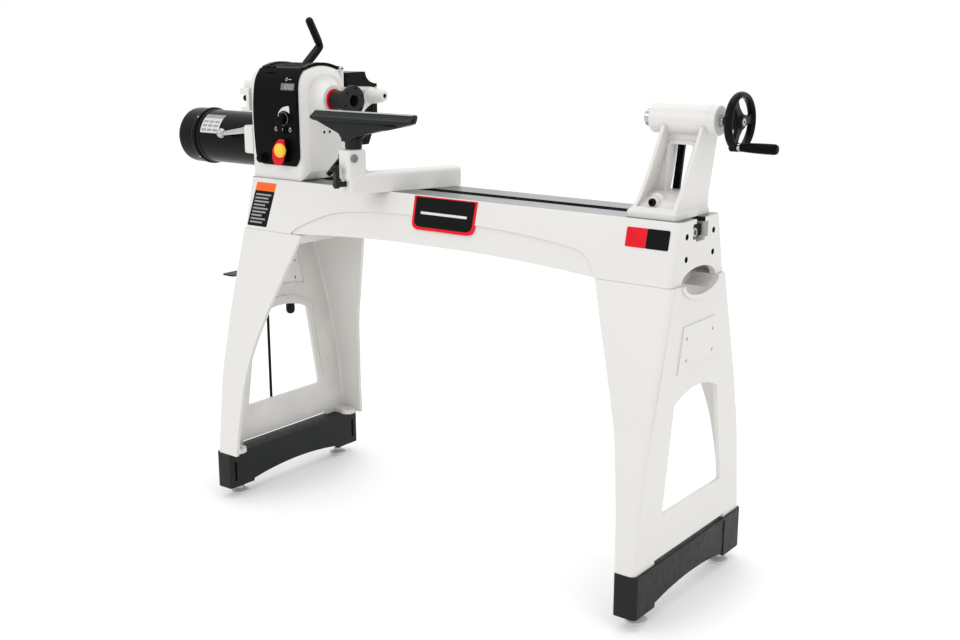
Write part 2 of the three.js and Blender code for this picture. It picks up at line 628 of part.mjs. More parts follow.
function faceplate() {
  let body = turned('x', [[around(15, 16), 234], [25, 234], [25, 280], [23, 284], [23, 287], [40, 287],
    [40, 300], [around(15, 16), 300]], axisAt);
  for (let i = 0; i < 6; i++) {
    const a = (60 * i + 20) * deg;
    body = body.subtract(rod('x', 2.6, 284, 305, [0, 33 * Math.cos(a), spindleZ + 33 * Math.sin(a)], 6));
  }
  return body;
}

const spindleProfile = [[0, -34], [14, -34], [17, -31], [17, 233], [15, 234], [15, 282], [0, 282]];
add(head, 'spindle', turned('x', spindleProfile, axisAt), looks.steel);
add(head, 'spindle_pulley', pulley([32, belt.spindleRadius, 48], around(17, 16), axisAt), looks.machined);
add(head, 'outboard_handwheel', outboardHandwheel(), looks.blackPaint);
add(head, 'faceplate', faceplate(), looks.darkCasting);
add(head, 'spindle_bearing_front', tube('x', around(17, 16), 26, 176, 204, axisAt), looks.steel);
add(head, 'spindle_bearing_rear', tube('x', around(17, 16), 26, 7, 27, axisAt), looks.steel);
add(head, 'seal_ring', tube('x', around(17, 16), 29.5, 227 + gap, 231.5, axisAt), looks.red);
add(head, 'drive_belt', driveBelt(), looks.rubber);

function motorPlate() {
  const { y, z } = motorPivot;
  const arm = polygon([[-20, 905], [y, z - 13], [y + 4, z + 12], [60, 1030]]);
  const eye = rod('x', 13, -12, -1, [0, y, z]);
  const plate = join(rod('x', 75, -12, -1, motorAt, 24), slab('x', arm, -12, -1), eye);
  return cut(plate, rod('x', 20, -20, 5, motorAt), rod('x', around(6), -20, 5, [0, y, z]));
}

function motorHousing() {
  const { radius, end } = motor;
  return turned('x', [[20, -13], [radius - 3, -13], [radius, -16], [radius, -34], [radius - 2, -36],
    [radius - 2, end + 14], [radius, end + 12], [radius, end], [14, end], [14, end + 6],
    [radius - 8, end + 6], [radius - 8, -24], [20, -24]], motorAt, 28);
}

function fanCover() {
  const { end, fanEnd } = motor;
  let body = turned('x', [[76, end - gap], [79, end - gap], [81, end - 6], [81, end - 12], [79, end - 15],
    [78, fanEnd + 12], [70, fanEnd], [12, fanEnd], [12, fanEnd + 3], [68, fanEnd + 3], [75, fanEnd + 14]],
  motorAt, 24);
  for (let i = 0; i < 10; i++) {
    const turn = new THREE.Matrix4().makeRotationX(36 * i * deg).setPosition(0, motor.y, motor.z);
    body = body.subtract(moved(box(fanEnd - 5, fanEnd + 8, -4, 4, 24, 60), turn));
  }
  return body;
}

function rotor() {
  const profile = [[0, -318], [8, -318], [8, -312], [62, -312], [62, -300], [8, -298], [8, -236], [46, -236],
    [46, -60], [8, -60], [8, 114], [0, 114]];
  return turned('x', profile, motorAt, 16);
}

add(head, 'motor_plate', motorPlate(), looks.blackPaint);
add(head, 'motor_housing', motorHousing(), looks.blackPaint);
add(head, 'motor_fan_cover', fanCover(), looks.blackPaint);
add(head, 'motor_stator', tube('x', 49, motor.radius - 10, -225, -70, motorAt, 20), looks.copper);
add(head, 'motor_rotor', rotor(), looks.steel);
add(head, 'motor_pulley', pulley([36, belt.motorRadius, 20], around(8, 16), motorAt), looks.machined);

// ---- banjo and tool rest ------------------------------------------------------------------------
const banjo = group(lathe, banjoX, 0, 0, banjoTurn);
const arm = { front: -186, back: 116, half: 26, bottom: bedTop + 0.4, top: 930 };
const socket = { front: -203, back: -154, half: 25, bottom: 926, top: 988 };
const clampShaftZ = 904;
const restLock = { y: -188, z: 968 };

function banjoCasting() {
  const { front, back, half, bottom, top } = arm;
  const section = new THREE.Shape().moveTo(-half, bottom).lineTo(half, bottom).lineTo(half, top - 8);
  section.quadraticCurveTo(half, top, half - 8, top).lineTo(8 - half, top);
  section.quadraticCurveTo(-half, top, -half, top - 8);
  const plan = rounded([[-socket.half, socket.front], [socket.half, socket.front],
    [socket.half, socket.back], [-socket.half, socket.back]], 10);
  const body = join(slab('y', section, front, back, 4), slab('z', plan, socket.bottom, socket.top, 5));
  const post = rod('z', around(16, 16), 930, 1000, [0, restPost, 0], 16);
  return cut(body, box(-20, 20, -148, 104, 870, 918), post,
    rod('y', around(7, 12), front - 10, 200, [0, 0, clampShaftZ], 12),
    rod('x', around(5), -50, 50, [0, restLock.y, restLock.z]));
}

function banjoClampHandle() {
  const shaft = turned('y', [[0, -231], [9, -231], [10, -229], [10, -219], [7, -217], [7, 121], [0, 121]],
    [0, 0, clampShaftZ], 12);
  const link = rounded([[-9, clampShaftZ - 8], [9, clampShaftZ - 8], [9, 951], [-9, 951]], 7);
  return join(shaft, slab('y', link, -230, -219), rod('y', 5, -240, -228, [0, 0, 942], 10));
}

function restSleeve() {
  return tube('z', around(12.7, 16), 16, 931, 987);
}

function toolRest() {
  const [left, right] = [-138, 200];
  const web = polygon([[left + 2, 1060], [-32, 1026], [-24, 1000], [24, 1000], [34, 1016], [50, 1026],
    [right - 8, 1052], [right, 1066], [right, 1073], [left, 1073]]);
  const rail = polygon([[7, 1078], [-2, 1078], [-21, 1061], [-22, 1056], [-14, 1053], [-7, 1045],
    [-6, 1038], [6, 1038], [8, 1052]]);
  const trim = polygon([[left, 1064], [left + 10, 1048], [-30, 1024], [50, 1024], [right - 14, 1048],
    [right, 1068], [right - 2, 1085], [left + 4, 1085]]);
  const blade = slab('x', rail, left, right).intersect(slab('y', trim, -40, 40));
  const neck = turned('z', [[0, 989.5], [20, 989.5], [22, 992], [22, 1014], [17, 1046], [0, 1056]]);
  return join(blade, slab('y', web, -6, 6), neck, rod('z', 12.7, 933, 995, [0, 0, 0], 16));
}

function restLockLever() {
  const { y, z } = restLock;
  const blade = rounded([[-8, -6], [62, -5.5], [62, 5.5], [-8, 6]], 4);
  const swing = new THREE.Matrix4().makeRotationX(225 * deg).setPosition(0, y, z);
  const bar = moved(slab('x', blade, -38, -29, 4), swing);
  return join(bar, rod('x', 11, -40, -25.4, [0, y, z]), rod('x', 5, -34, -17, [0, y, z]));
}

function restLockPlug() {
  const { y, z } = restLock;
  const screw = join(rod('x', 10, 25.4, 29, [0, y, z], 16), rod('x', 5, 17, 27, [0, y, z]));
  return screw.subtract(rod('x', 5, 26, 34, [0, y, z], 6));
}

add(lathe, 'banjo_clamp_plate', clampPlate(30, 896), looks.steel, [banjoX, 0, 0]);
add(banjo, 'banjo_slider', tube('z', around(8), 18, 881, 896.5), looks.steel);
add(banjo, 'banjo_casting', banjoCasting(), looks.whitePaint);
add(banjo, 'banjo_clamp_handle', banjoClampHandle(), looks.darkCasting);
add(banjo, 'tool_rest_lock_lever', restLockLever(), looks.blackPaint);
add(banjo, 'tool_rest_lock_plug', restLockPlug(), looks.blackPaint);
const rest = group(banjo, 0, restPost, 0, restTurn);
add(rest, 'tool_rest_sleeve', restSleeve(), looks.steel);
add(rest, 'tool_rest', toolRest(), looks.darkCasting);

// ---- tailstock ----------------------------------------------------------------------------------
const tail = group(lathe, tailX);
const tailClamp = { x: 58, z: 914 };
const barrel = { from: 9, to: 180, radius: 32.5, bore: 20 };
const wheel = { x: 223, radius: 56, rim: 6.5 };
const crank = { y: -25, z: spindleZ - 50 };
const quillLockX = 40;

function tailstockCasting() {
  const { from, to, radius, bore } = barrel;
  const foot = loft([[880.4, 0, 124, 80], [893, 0, 124, 80], [903, 8, 117, 70]].map(([z, x0, x1, w]) => [
    [x0 + 8, -w, z], [x1 - 8, -w, z], [x1, 8 - w, z], [x1, w - 8, z],
    [x1 - 8, w, z], [x0 + 8, w, z], [x0, w - 8, z], [x0, 8 - w, z]]));
  const rib = (x0, x1) => loft([[896, x0, 76], [1078, x1, 37]].map(([z, x, w]) => [
    [x, -w, z], [x + 9, -w, z], [x + 9, w, z], [x, w, z]]));
  const ribs = [rib(13, 57), rib(110, 149)];
  const web = slab('y', polygon([[18, 896], [114, 896], [153, 1078], [62, 1078]]), -5, 5);
  const window = slab('y', rounded([[61, 934], [91, 934], [120, 1034], [68, 1034]], 6), -20, 20, 4);
  const block = box(23, 106, -60, 28, 898, 925);
  const clampAt = [tailClamp.x, 0, tailClamp.z];
  const boss = rod('y', 12, -62, -50, clampAt);
  const outside = [[0, from], [radius - 2, from], [radius, from + 2], [radius, to], [0, to]];
  const body = join(foot, ...ribs, web.subtract(window), block, boss, turned('x', outside, axisAt, 24));
  return cut(body, rod('x', bore, from - 5, to - 8, axisAt, 20),
    rod('x', around(8, 14), to - 20, to + 5, axisAt, 14), rod('z', 9, 870, 906, [62, 0, 0]),
    rod('y', around(7, 12), -100, 100, clampAt, 12), rod('y', around(5), 10, 60, [quillLockX, 0, spindleZ]));
}

function quill() {
  return turned('x', [[9.5, 4], [18, 4], [19.4, 6], [19.4, 140], [around(8, 14), 140]], axisAt, 20);
}

function leadScrew() {
  const profile = [[0, 26], [7, 26], [8, 28], [8, 216], [0, 216]];
  return join(turned('x', profile, axisAt, 14), rod('x', 13, 181, 189, axisAt, 14));
}

function tailHandwheel() {
  const rimProfile = [];
  for (let i = 0; i < 8; i++) {
    const a = 45 * i * deg;
    rimProfile.push([wheel.radius + wheel.rim * Math.cos(a), wheel.x + 8 * Math.sin(a)]);
  }
  const hub = turned('x', [[0, 191], [15, 191], [17, 194], [17, 228], [13, 232], [0, 232]], axisAt);
  let body = join(turned('x', rimProfile, axisAt, 22), hub);
  const start = Math.atan2(crank.z - spindleZ, crank.y);
  for (let i = 0; i < 3; i++) {
    const spoke = box(wheel.x - 5, wheel.x + 3, 0, wheel.radius, -7, 7);
    const turn = new THREE.Matrix4().makeRotationX(start + 120 * i * deg).setPosition(0, 0, spindleZ);
    body = body.add(moved(spoke, turn));
  }
  const eye = [0, crank.y, crank.z];
  body = body.add(rod('x', 10, wheel.x - 8, wheel.x + 9, eye));
  return cut(body, rod('x', around(8, 14), 180, 216 + gap, axisAt, 14), rod('x', around(4), 200, 240, eye));
}

function crankHandle() {
  const x = wheel.x - 8;
  const profile = [[0, x], [4, x], [4, x + 17 + gap], [8, x + 17 + gap], [9, x + 28], [11, x + 34],
    [12.5, x + 60], [12.5, crankEnd - 6], [9, crankEnd], [0, crankEnd]];
  return turned('x', profile, [0, crank.y, crank.z], 14);
}

function tailClampLever() {
  const { x, z } = tailClamp;
  const bar = polygon([[x - 7, z], [x + 7, z], [x + 11, z + 24], [x + 25, 1084], [x + 20, 1090],
    [x + 9, 1088], [x - 6, z + 24]]);
  const shaft = turned('y', [[0, -70], [8, -70], [8, -62.4], [7, -62.4], [7, 44], [0, 44]], [x, 0, z], 12);
  const lever = join(slab('y', bar, 33.5, 41.5), shaft, rod('y', 10, 29, 44, [x, 0, z]));
  return lever.subtract(rod('y', 4, -75, -66, [x, 0, z], 6));
}

function quillLockLever() {
  const at = [quillLockX, 0, spindleZ];
  const blade = rounded([[-6, -62], [6, -62], [8, 8], [-8, 8]], 5);
  return join(slab('y', blade, 54, 60).translate(quillLockX, 0, spindleZ), rod('y', 5, 22, 50, at),
    rod('y', 10, 33.4, 61, at, 12));
}

add(tail, 'tailstock_casting', tailstockCasting(), looks.whitePaint);
add(tail, 'tailstock_clamp_plate', clampPlate(30, 900), looks.steel, [62, 0, 0]);
add(tail, 'tailstock_clamp_lever', tailClampLever(), looks.blackPaint);
add(tail, 'quill_lock_lever', quillLockLever(), looks.blackPaint);
add(tail, 'quill', quill(), looks.chrome);
add(tail, 'lead_screw', leadScrew(), looks.steel);
add(tail, 'tailstock_handwheel', tailHandwheel(), looks.blackPaint);
add(tail, 'crank_handle', crankHandle(), looks.blackPlastic);

// The origin stands under the middle of the whole machine.
lathe.position.x = -(headX + motor.fanEnd + tailX + crankEnd) / 2;

export default lathe;
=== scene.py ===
"""Looks of a floor-standing wood lathe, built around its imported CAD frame.

Piece shapes are written in millimetres, in the frame of the casting that carries them, and are
carried to the object's own frame (metres) when the piece is placed.
"""
import json
from math import atan2, cos, degrees, hypot, pi, radians, sin

import bmesh
import bpy
from mathutils import Matrix, Vector


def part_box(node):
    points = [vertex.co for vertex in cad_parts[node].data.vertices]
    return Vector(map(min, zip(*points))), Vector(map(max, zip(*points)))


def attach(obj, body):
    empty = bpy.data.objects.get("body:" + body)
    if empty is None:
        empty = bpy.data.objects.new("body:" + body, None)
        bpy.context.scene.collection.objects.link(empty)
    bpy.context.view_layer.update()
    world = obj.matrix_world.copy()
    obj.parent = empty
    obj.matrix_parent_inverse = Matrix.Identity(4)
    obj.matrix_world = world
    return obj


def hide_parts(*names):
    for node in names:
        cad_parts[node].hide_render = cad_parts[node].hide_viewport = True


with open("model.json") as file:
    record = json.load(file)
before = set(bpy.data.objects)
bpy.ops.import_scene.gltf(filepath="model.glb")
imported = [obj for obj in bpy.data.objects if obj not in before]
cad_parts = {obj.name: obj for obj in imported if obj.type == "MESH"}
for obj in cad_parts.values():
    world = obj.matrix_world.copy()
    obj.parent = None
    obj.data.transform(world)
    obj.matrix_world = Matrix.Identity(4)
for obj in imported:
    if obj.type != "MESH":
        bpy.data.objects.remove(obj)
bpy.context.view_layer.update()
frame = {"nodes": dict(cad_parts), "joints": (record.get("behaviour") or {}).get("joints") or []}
MM = 0.001
pivot = {j["name"]: Vector(j["pos_m"]) for j in frame["joints"] if "pos_m" in j}

# ---- places, read from the frame ------------------------------------------------------------
bed_low, bed_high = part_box("bed_casting")
BED_TOP = bed_high.z / MM
AXIS_Z = pivot["spindle_spin"].z / MM
HEAD = Matrix.Translation((pivot["spindle_spin"].x, 0, 0))
TAIL_CLAMP = (58, 0, 914)
TAIL = Matrix.Translation((pivot["tailstock_clamp_turn"].x - TAIL_CLAMP[0] * MM, 0, 0))
BED = Matrix.Translation(((bed_low.x + bed_high.x) / 2, 0, 0))
LEG_RIGHT = BED.copy()
LEG_LEFT = BED @ Matrix.Rotation(pi, 4, "Z")
banjo_axis = next(Vector(j["axis"]) for j in frame["joints"] if j["name"] == "banjo_cross_slide")
BANJO_TURN = atan2(-banjo_axis.x, banjo_axis.y)
BANJO = Matrix.Translation((pivot["banjo_swivel"].x, 0, 0)) @ Matrix.Rotation(BANJO_TURN, 4, "Z")
REST_POST_Y = -176
REST_TURN = radians(20.6)
REST = BANJO @ Matrix.Translation((0, REST_POST_Y * MM, 0)) @ Matrix.Rotation(REST_TURN, 4, "Z")
MOTOR_Y = pivot["rotor_spin"].y / MM
MOTOR_Z = pivot["rotor_spin"].z / MM


# ---- camera, light and floor ----------------------------------------------------------------
LENS = 46.28
CAMERA_PLACE = (1.9602, -2.4023, 1.3020)
CAMERA_DROP = 13.78    # degrees that the camera looks down
CAMERA_SIDE = 37.08    # degrees that it stands round from the front


def make_camera():
    data = bpy.data.cameras.new("camera")
    data.sensor_width = 36
    data.lens = LENS
    camera = bpy.data.objects.new("camera", data)
    camera.location = CAMERA_PLACE
    camera.rotation_euler = (radians(90 - CAMERA_DROP), 0, radians(CAMERA_SIDE))
    bpy.context.collection.objects.link(camera)
    bpy.context.scene.camera = camera


def make_light(name, place, target, width, height, power):
    data = bpy.data.lights.new(name, "AREA")
    data.shape = "RECTANGLE"
    data.size = width
    data.size_y = height
    data.energy = power
    light = bpy.data.objects.new(name, data)
    light.location = place
    light.rotation_euler = (Vector(target) - Vector(place)).to_track_quat("-Z", "Y").to_euler()
    bpy.context.collection.objects.link(light)


def make_studio():
    middle = (0, 0, 0.8)
    make_light("key", (-1.2, -3.2, 3.0), middle, 2.4, 1.6, 20)
    make_light("fill", (3.4, -1.2, 2.0), middle, 1.6, 2.2, 5)
    make_light("top", (0.2, 0.3, 3.6), middle, 3.2, 2.0, 18)
    make_light("back", (-0.6, 3.4, 2.4), middle, 3.0, 1.4, 8)
    world = bpy.data.worlds.new("studio")
    world.use_nodes = True
    world.node_tree.nodes["Background"].inputs["Color"].default_value = (1, 1, 1, 1)
    world.node_tree.nodes["Background"].inputs["Strength"].default_value = 1.0
    scene = bpy.context.scene
    scene.world = world
    scene.view_settings.view_transform = "Standard"
    scene.view_settings.look = "None"
    mesh = bpy.data.meshes.new("floor")
    reach = 14
    mesh.from_pydata([(-reach, -reach, 0), (reach, -reach, 0), (reach, reach, 0), (-reach, reach, 0)], [],
        [(0, 1, 2, 3)])
    floor = bpy.data.objects.new("floor", mesh)
    bpy.context.collection.objects.link(floor)
    mesh.materials.append(floor_material())


# ---- materials ------------------------------------------------------------------------------
NOISE_BAND = (0.3, 0.7)    # the part of a noise that most of its values fall in


def new_material(name):
    material = bpy.data.materials.new(name)
    material.use_nodes = True
    return material, material.node_tree.nodes, material.node_tree.links


def floor_material():
    material, nodes, _ = new_material("pale_floor")
    shader = nodes["Principled BSDF"]
    shader.inputs["Base Color"].default_value = (0.93, 0.93, 0.93, 1)
    shader.inputs["Roughness"].default_value = 0.6
    shader.inputs["Emission Color"].default_value = (1, 1, 1, 1)
    shader.inputs["Emission Strength"].default_value = 0.1
    return material


def noise_at(nodes, links, scale, stretch=(1, 1, 1), detail=3.0):
    """Noise in the object's own metres, stretched along an axis where the finish has a grain."""
    place = nodes.new("ShaderNodeTexCoord")
    mapping = nodes.new("ShaderNodeMapping")
    mapping.inputs["Scale"].default_value = stretch
    made = nodes.new("ShaderNodeTexNoise")
    made.inputs["Scale"].default_value = scale
    made.inputs["Detail"].default_value = detail
    made.inputs["Roughness"].default_value = 0.5
    links.new(place.outputs["Object"], mapping.inputs["Vector"])
    links.new(mapping.outputs["Vector"], made.inputs["Vector"])
    return made.outputs["Fac"]


def grain(noise):
    """The (scale, stretch) of a noise that is written as a scale or as that pair."""
    return noise if isinstance(noise, tuple) else (noise, (1, 1, 1))


def spread(nodes, links, value, low, high):
    """Carries the noise band to low..high."""
    made = nodes.new("ShaderNodeMapRange")
    made.inputs["From Min"].default_value = NOISE_BAND[0]
    made.inputs["From Max"].default_value = NOISE_BAND[1]
    made.inputs["To Min"].default_value = low
    made.inputs["To Max"].default_value = high
    links.new(value, made.inputs["Value"])
    return made.outputs["Result"]


def surface(name, colour, tint, rough, mottle, bumps, rough_noise=60, metal=0.0, coat=0.0, sheen=0.0,
        anisotropic=0.0, specular=0.5):
    """A finish: two near colours mixed by soft noise, uneven roughness and one or more bumps.

    rough is (low, high). mottle and rough_noise are the noises of the colour and the roughness.
    Each bump is (scale, height in millimetres, stretch).
    """
    material, nodes, links = new_material(name)
    shader = nodes["Principled BSDF"]
    shader.inputs["Metallic"].default_value = metal
    shader.inputs["Specular IOR Level"].default_value = specular
    shader.inputs["Coat Weight"].default_value = coat
    shader.inputs["Coat Roughness"].default_value = 0.08
    shader.inputs["Sheen Weight"].default_value = sheen
    shader.inputs["Anisotropic"].default_value = anisotropic
    mix = nodes.new("ShaderNodeMix")
    mix.data_type = "RGBA"
    mix.inputs["A"].default_value = (*colour, 1)
    mix.inputs["B"].default_value = (*tint, 1)
    soft = noise_at(nodes, links, *grain(mottle))
    links.new(spread(nodes, links, soft, 0, 1), mix.inputs["Factor"])
    links.new(mix.outputs["Result"], shader.inputs["Base Color"])
    uneven = noise_at(nodes, links, *grain(rough_noise))
    links.new(spread(nodes, links, uneven, rough[0], rough[1]), shader.inputs["Roughness"])
    normal = None
    for scale, height, *rest in bumps:
        stretch = rest[0] if rest else (1, 1, 1)
        bump = nodes.new("ShaderNodeBump")
        bump.inputs["Strength"].default_value = 1.0
        bump.inputs["Distance"].default_value = height * MM
        links.new(noise_at(nodes, links, scale, stretch, 2.0), bump.inputs["Height"])
        if normal:
            links.new(normal, bump.inputs["Normal"])
        normal = bump.outputs["Normal"]
    if normal:
        links.new(normal, shader.inputs["Normal"])
    return material


WHITE = surface("white_enamel", (0.700, 0.688, 0.662), (0.684, 0.671, 0.644), (0.28, 0.36), 3.5,
    [(9, 0.02), (260, 0.010)], coat=0.15, rough_noise=24)
WHITE_RAW = surface("white_enamel_inside", (0.66, 0.645, 0.615), (0.58, 0.565, 0.54), (0.4, 0.6), 12,
    [(60, 0.35), (420, 0.12)])
DARK = surface("dark_casting_paint", (0.013, 0.0150, 0.0152), (0.010, 0.0118, 0.0120), (0.36, 0.5), 9,
    [(45, 0.18), (430, 0.06)], coat=0.02, specular=0.16)
BLACK = surface("black_gloss_paint", (0.0030, 0.0032, 0.0033), (0.0022, 0.0024, 0.0025), (0.2, 0.3), 8,
    [(30, 0.12), (300, 0.03)], coat=0.01, specular=0.09, rough_noise=30)
PLASTIC = surface("black_plastic", (0.0020, 0.0021, 0.0021), (0.0030, 0.0031, 0.0031), (0.3, 0.4), 40,
    [(1400, 0.030)], specular=0.05, rough_noise=180)
GRIP = surface("black_grip_rubber", (0.0040, 0.0043, 0.0043), (0.0065, 0.0068, 0.0068), (0.45, 0.6), 60,
    [(1100, 0.05)], specular=0.12, sheen=0.04)
GROUND = surface("ground_ways", (0.27, 0.278, 0.284), (0.21, 0.217, 0.222), (0.26, 0.40), (9, (0.6, 18, 1)),
    [(60, 0.006, (0.5, 30, 1))], metal=1.0, rough_noise=(30, (0.4, 22, 1)), anisotropic=0.4)
# Painted shade: the walls of the slot between the ways are near black, darker than their machined iron, to
# stand for the shade inside the slot.
SLOT_SHADE = surface("slot_wall_painted_shade", (0.020, 0.021, 0.022), (0.014, 0.015, 0.016), (0.4, 0.55),
    (12, (0.4, 1, 8)), [(80, 0.03, (0.4, 1, 6))], metal=0.4, specular=0.15)
STEEL = surface("machined_steel", (0.52, 0.53, 0.535), (0.43, 0.44, 0.445), (0.24, 0.36), 20,
    [(500, 0.008, (1, 6, 6))], metal=1.0, rough_noise=90)
CHROME = surface("bright_plating", (0.50, 0.505, 0.51), (0.42, 0.425, 0.43), (0.08, 0.16), 30,
    [(160, 0.004)], metal=1.0, rough_noise=80)
ALUMINIUM = surface("turned_aluminium", (0.72, 0.73, 0.735), (0.64, 0.65, 0.655), (0.26, 0.38),
    (20, (30, 1, 1)), [(60, 0.01, (24, 1, 1))], metal=1.0)
RED = surface("red_plastic", (0.66, 0.006, 0.012), (0.58, 0.004, 0.010), (0.22, 0.32), 40, [(900, 0.012)],
    coat=0.02, specular=0.15)
YELLOW = surface("yellow_print", (0.90, 0.56, 0.05), (0.86, 0.50, 0.035), (0.3, 0.4), 60, [(900, 0.008)],
    specular=0.2)
RUBBER = surface("belt_rubber", (0.020, 0.020, 0.020), (0.030, 0.030, 0.029), (0.6, 0.8), 90, [(700, 0.06)])
PAD = surface("pale_pad", (0.68, 0.69, 0.68), (0.62, 0.63, 0.62), (0.3, 0.42), 40, [(500, 0.02)])
COPPER = surface("copper_winding", (0.50, 0.22, 0.10), (0.42, 0.17, 0.07), (0.3, 0.45), 60,
    [(300, 0.2, (8, 1, 1))], metal=1.0)
GLASS = surface("display_window", (0.13, 0.14, 0.135), (0.11, 0.12, 0.115), (0.08, 0.12), 20, [(200, 0.004)],
    coat=0.1)
DIGIT = surface("display_digits", (0.42, 0.45, 0.43), (0.38, 0.41, 0.39), (0.25, 0.35), 60, [(600, 0.004)])
INK = surface("white_ink", (0.70, 0.70, 0.69), (0.62, 0.62, 0.61), (0.4, 0.5), 80, [(900, 0.006)])
BADGE_RED = surface("badge_red", (0.74, 0.010, 0.020), (0.68, 0.008, 0.016), (0.2, 0.3), 18, [(500, 0.008)],
    coat=0.02, specular=0.12)
BADGE_BLACK = surface("badge_black", (0.0030, 0.0032, 0.0034), (0.0024, 0.0026, 0.0028), (0.2, 0.3), 18,
    [(500, 0.008)], coat=0.01, specular=0.1)
ORANGE = surface("label_orange", (0.86, 0.135, 0.014), (0.82, 0.12, 0.010), (0.3, 0.42), 30, [(700, 0.006)],
    coat=0.02, specular=0.2)
LABEL_GREY = surface("label_grey", (0.30, 0.30, 0.30), (0.26, 0.26, 0.26), (0.35, 0.5), 60, [(900, 0.004)])
PLATE = surface("rating_plate", (0.70, 0.71, 0.71), (0.63, 0.64, 0.64), (0.3, 0.42), (30, (1, 20, 20)),
    [(300, 0.004, (1, 12, 12))], metal=0.6)
# Painted shade: a near-black finish put inside holes, bores and slots, where only shade falls.
SHADOW = surface("painted_recess_shade", (0.002, 0.002, 0.002), (0.004, 0.004, 0.004), (0.6, 0.8), 60, [(400, 0.05)],
    specular=0.1)


# ---- solids, in millimetres -----------------------------------------------------------------
FLAT = 0.6     # faces that meet within this many degrees count as one flat face
CLOSE = 0.01    # points nearer than this are one point
GAP = 0.3      # left between parts that touch in the real machine
BEYOND = 200    # half width of tools that cut across the whole machine


def mesh_of(verts, faces):
    """A closed mesh with its faces turned outwards."""
    work = bmesh.new()
    made = [work.verts.new(v) for v in verts]
    for face in faces:
        work.faces.new([made[i] for i in face])
    bmesh.ops.remove_doubles(work, verts=work.verts, dist=1e-4)
    bmesh.ops.recalc_face_normals(work, faces=work.faces)
    mesh = bpy.data.meshes.new("solid")
    work.to_mesh(mesh)
    work.free()
    return mesh


def loft(rings):
    """Rings of equal point count, stacked in order, with flat ends."""
    count = len(rings[0])
    faces = []
    for level in range(len(rings) - 1):
        for i in range(count):
            a = level * count + i
            b = level * count + (i + 1) % count
            faces.append((a, b, b + count, a + count))
    faces.append(tuple(range(count))[::-1])
    last = (len(rings) - 1) * count
    faces.append(tuple(range(last, last + count)))
    return mesh_of([p for ring in rings for p in ring], faces)


def lift(axis, outline, t):
    """A flat outline put at distance t along an axis: x takes (Y, Z), y takes (X, Z), z (X, Y)."""
    if axis == "x":
        return [(t, u, v) for u, v in outline]
    if axis == "y":
        return [(u, t, v) for u, v in outline]
    return [(u, v, t) for u, v in outline]


def prism(axis, outline, start, end):
    return loft([lift(axis, outline, start), lift(axis, outline, end)])


def block(x0, x1, y0, y1, z0, z1):
    return prism("z", box_outline(x0, x1, y0, y1), z0, z1)


def turn(axis, profile, at=(0, 0, 0), segments=64):
    """A profile of (radius, distance along the axis) turned about an axis through `at`."""
    hollow = profile[0][0] > 0
    points = list(profile) + ([profile[0]] if hollow else [])
    verts = []
    rows = []
    for r, t in points:
        row = []
        for i in range(segments if r > 0 else 1):
            a = 2 * pi * i / segments
            u, v = r * cos(a), r * sin(a)
            place = {"x": (t, u, v), "y": (u, t, v), "z": (u, v, t)}[axis]
            row.append(len(verts))
            verts.append(tuple(place[k] + at[k] for k in range(3)))
        rows.append(row)
    faces = []
    for here, there in zip(rows, rows[1:]):
        for i in range(segments):
            quad = [here[i % len(here)], here[(i + 1) % len(here)], there[(i + 1) % len(there)],
                there[i % len(there)]]
            face = [v for k, v in enumerate(quad) if v not in quad[:k]]
            if len(face) > 2:
                faces.append(face)
    return mesh_of(verts, faces)


def rod(axis, radius, start, end, at=(0, 0, 0), segments=48):
    return turn(axis, box_outline(0, radius, start, end), at, segments)


def tube(axis, inner, outer, start, end, at=(0, 0, 0), segments=64):
    return turn(axis, box_outline(inner, outer, start, end), at, segments)


def rounded(points, radius, steps=6):
    """A closed outline with its corners rounded by the same radius."""
    made = []
    for i, corner in enumerate(points):
        here = Vector(corner)
        before = Vector(points[i - 1])
        after = Vector(points[(i + 1) % len(points)])
        start = here + (before - here).normalized() * min(radius, (before - here).length / 2)
        end = here + (after - here).normalized() * min(radius, (after - here).length / 2)
        for k in range(steps + 1):
            t = k / steps
            made.append(tuple(start * (1 - t) ** 2 + here * 2 * t * (1 - t) + end * t * t))
    return made


def box_outline(u0, u1, v0, v1, radius=0.0, steps=6):
    corners = [(u0, v0), (u1, v0), (u1, v1), (u0, v1)]
    return rounded(corners, radius, steps) if radius else corners


def path(*parts):
    """An outline of points and curves. A curve is (middle, end, steps) and starts at the last point."""
    made = []
    for part in parts:
        if len(part) == 2:
            made.append(part)
            continue
        middle, end, steps = part
        start = made[-1]
        for k in range(1, steps + 1):
            t = k / steps
            made.append(tuple(start[i] * (1 - t) ** 2 + middle[i] * 2 * t * (1 - t) + end[i] * t * t
                for i in range(2)))
    return made


def spline(points, divisions):
    """Points along a smooth curve through the given ones."""
    made = []
    last = len(points) - 1
    for k in range(divisions + 1):
        place = k / divisions * last
        i = min(int(place), last - 1)
        t = place - i
        p = [points[min(max(i + d, 0), last)] for d in (-1, 0, 1, 2)]
        made.append(tuple(0.5 * (2 * p[1][c] + (p[2][c] - p[0][c]) * t + (2 * p[0][c] - 5 * p[1][c]
            + 4 * p[2][c] - p[3][c]) * t * t + (3 * p[1][c] - p[0][c] - 3 * p[2][c] + p[3][c]) * t ** 3)
            for c in range(2)))
    return made


def ellipse(u, v, a, b, start=0.0, end=2 * pi, steps=48):
    full = abs(end - start) > 6.28
    count = steps if full else steps + 1
    return [(u + a * cos(start + (end - start) * k / steps), v + b * sin(start + (end - start) * k / steps))
        for k in range(count)]


def moved(mesh, matrix):
    mesh.transform(matrix)
    return mesh


def spun(at, angle, axis="X"):
    """A turn by an angle in degrees, then a move to a place."""
    return Matrix.Translation(at) @ Matrix.Rotation(radians(angle), 4, axis)


def hexagon(axis, radius, start, end, at):
    """A hexagonal bar along an axis through `at`, for sockets and nuts."""
    place = [0 if name == axis else at[i] for i, name in enumerate("xyz")]
    return moved(prism(axis, ellipse(0, 0, radius, radius, steps=6), start, end), Matrix.Translation(place))


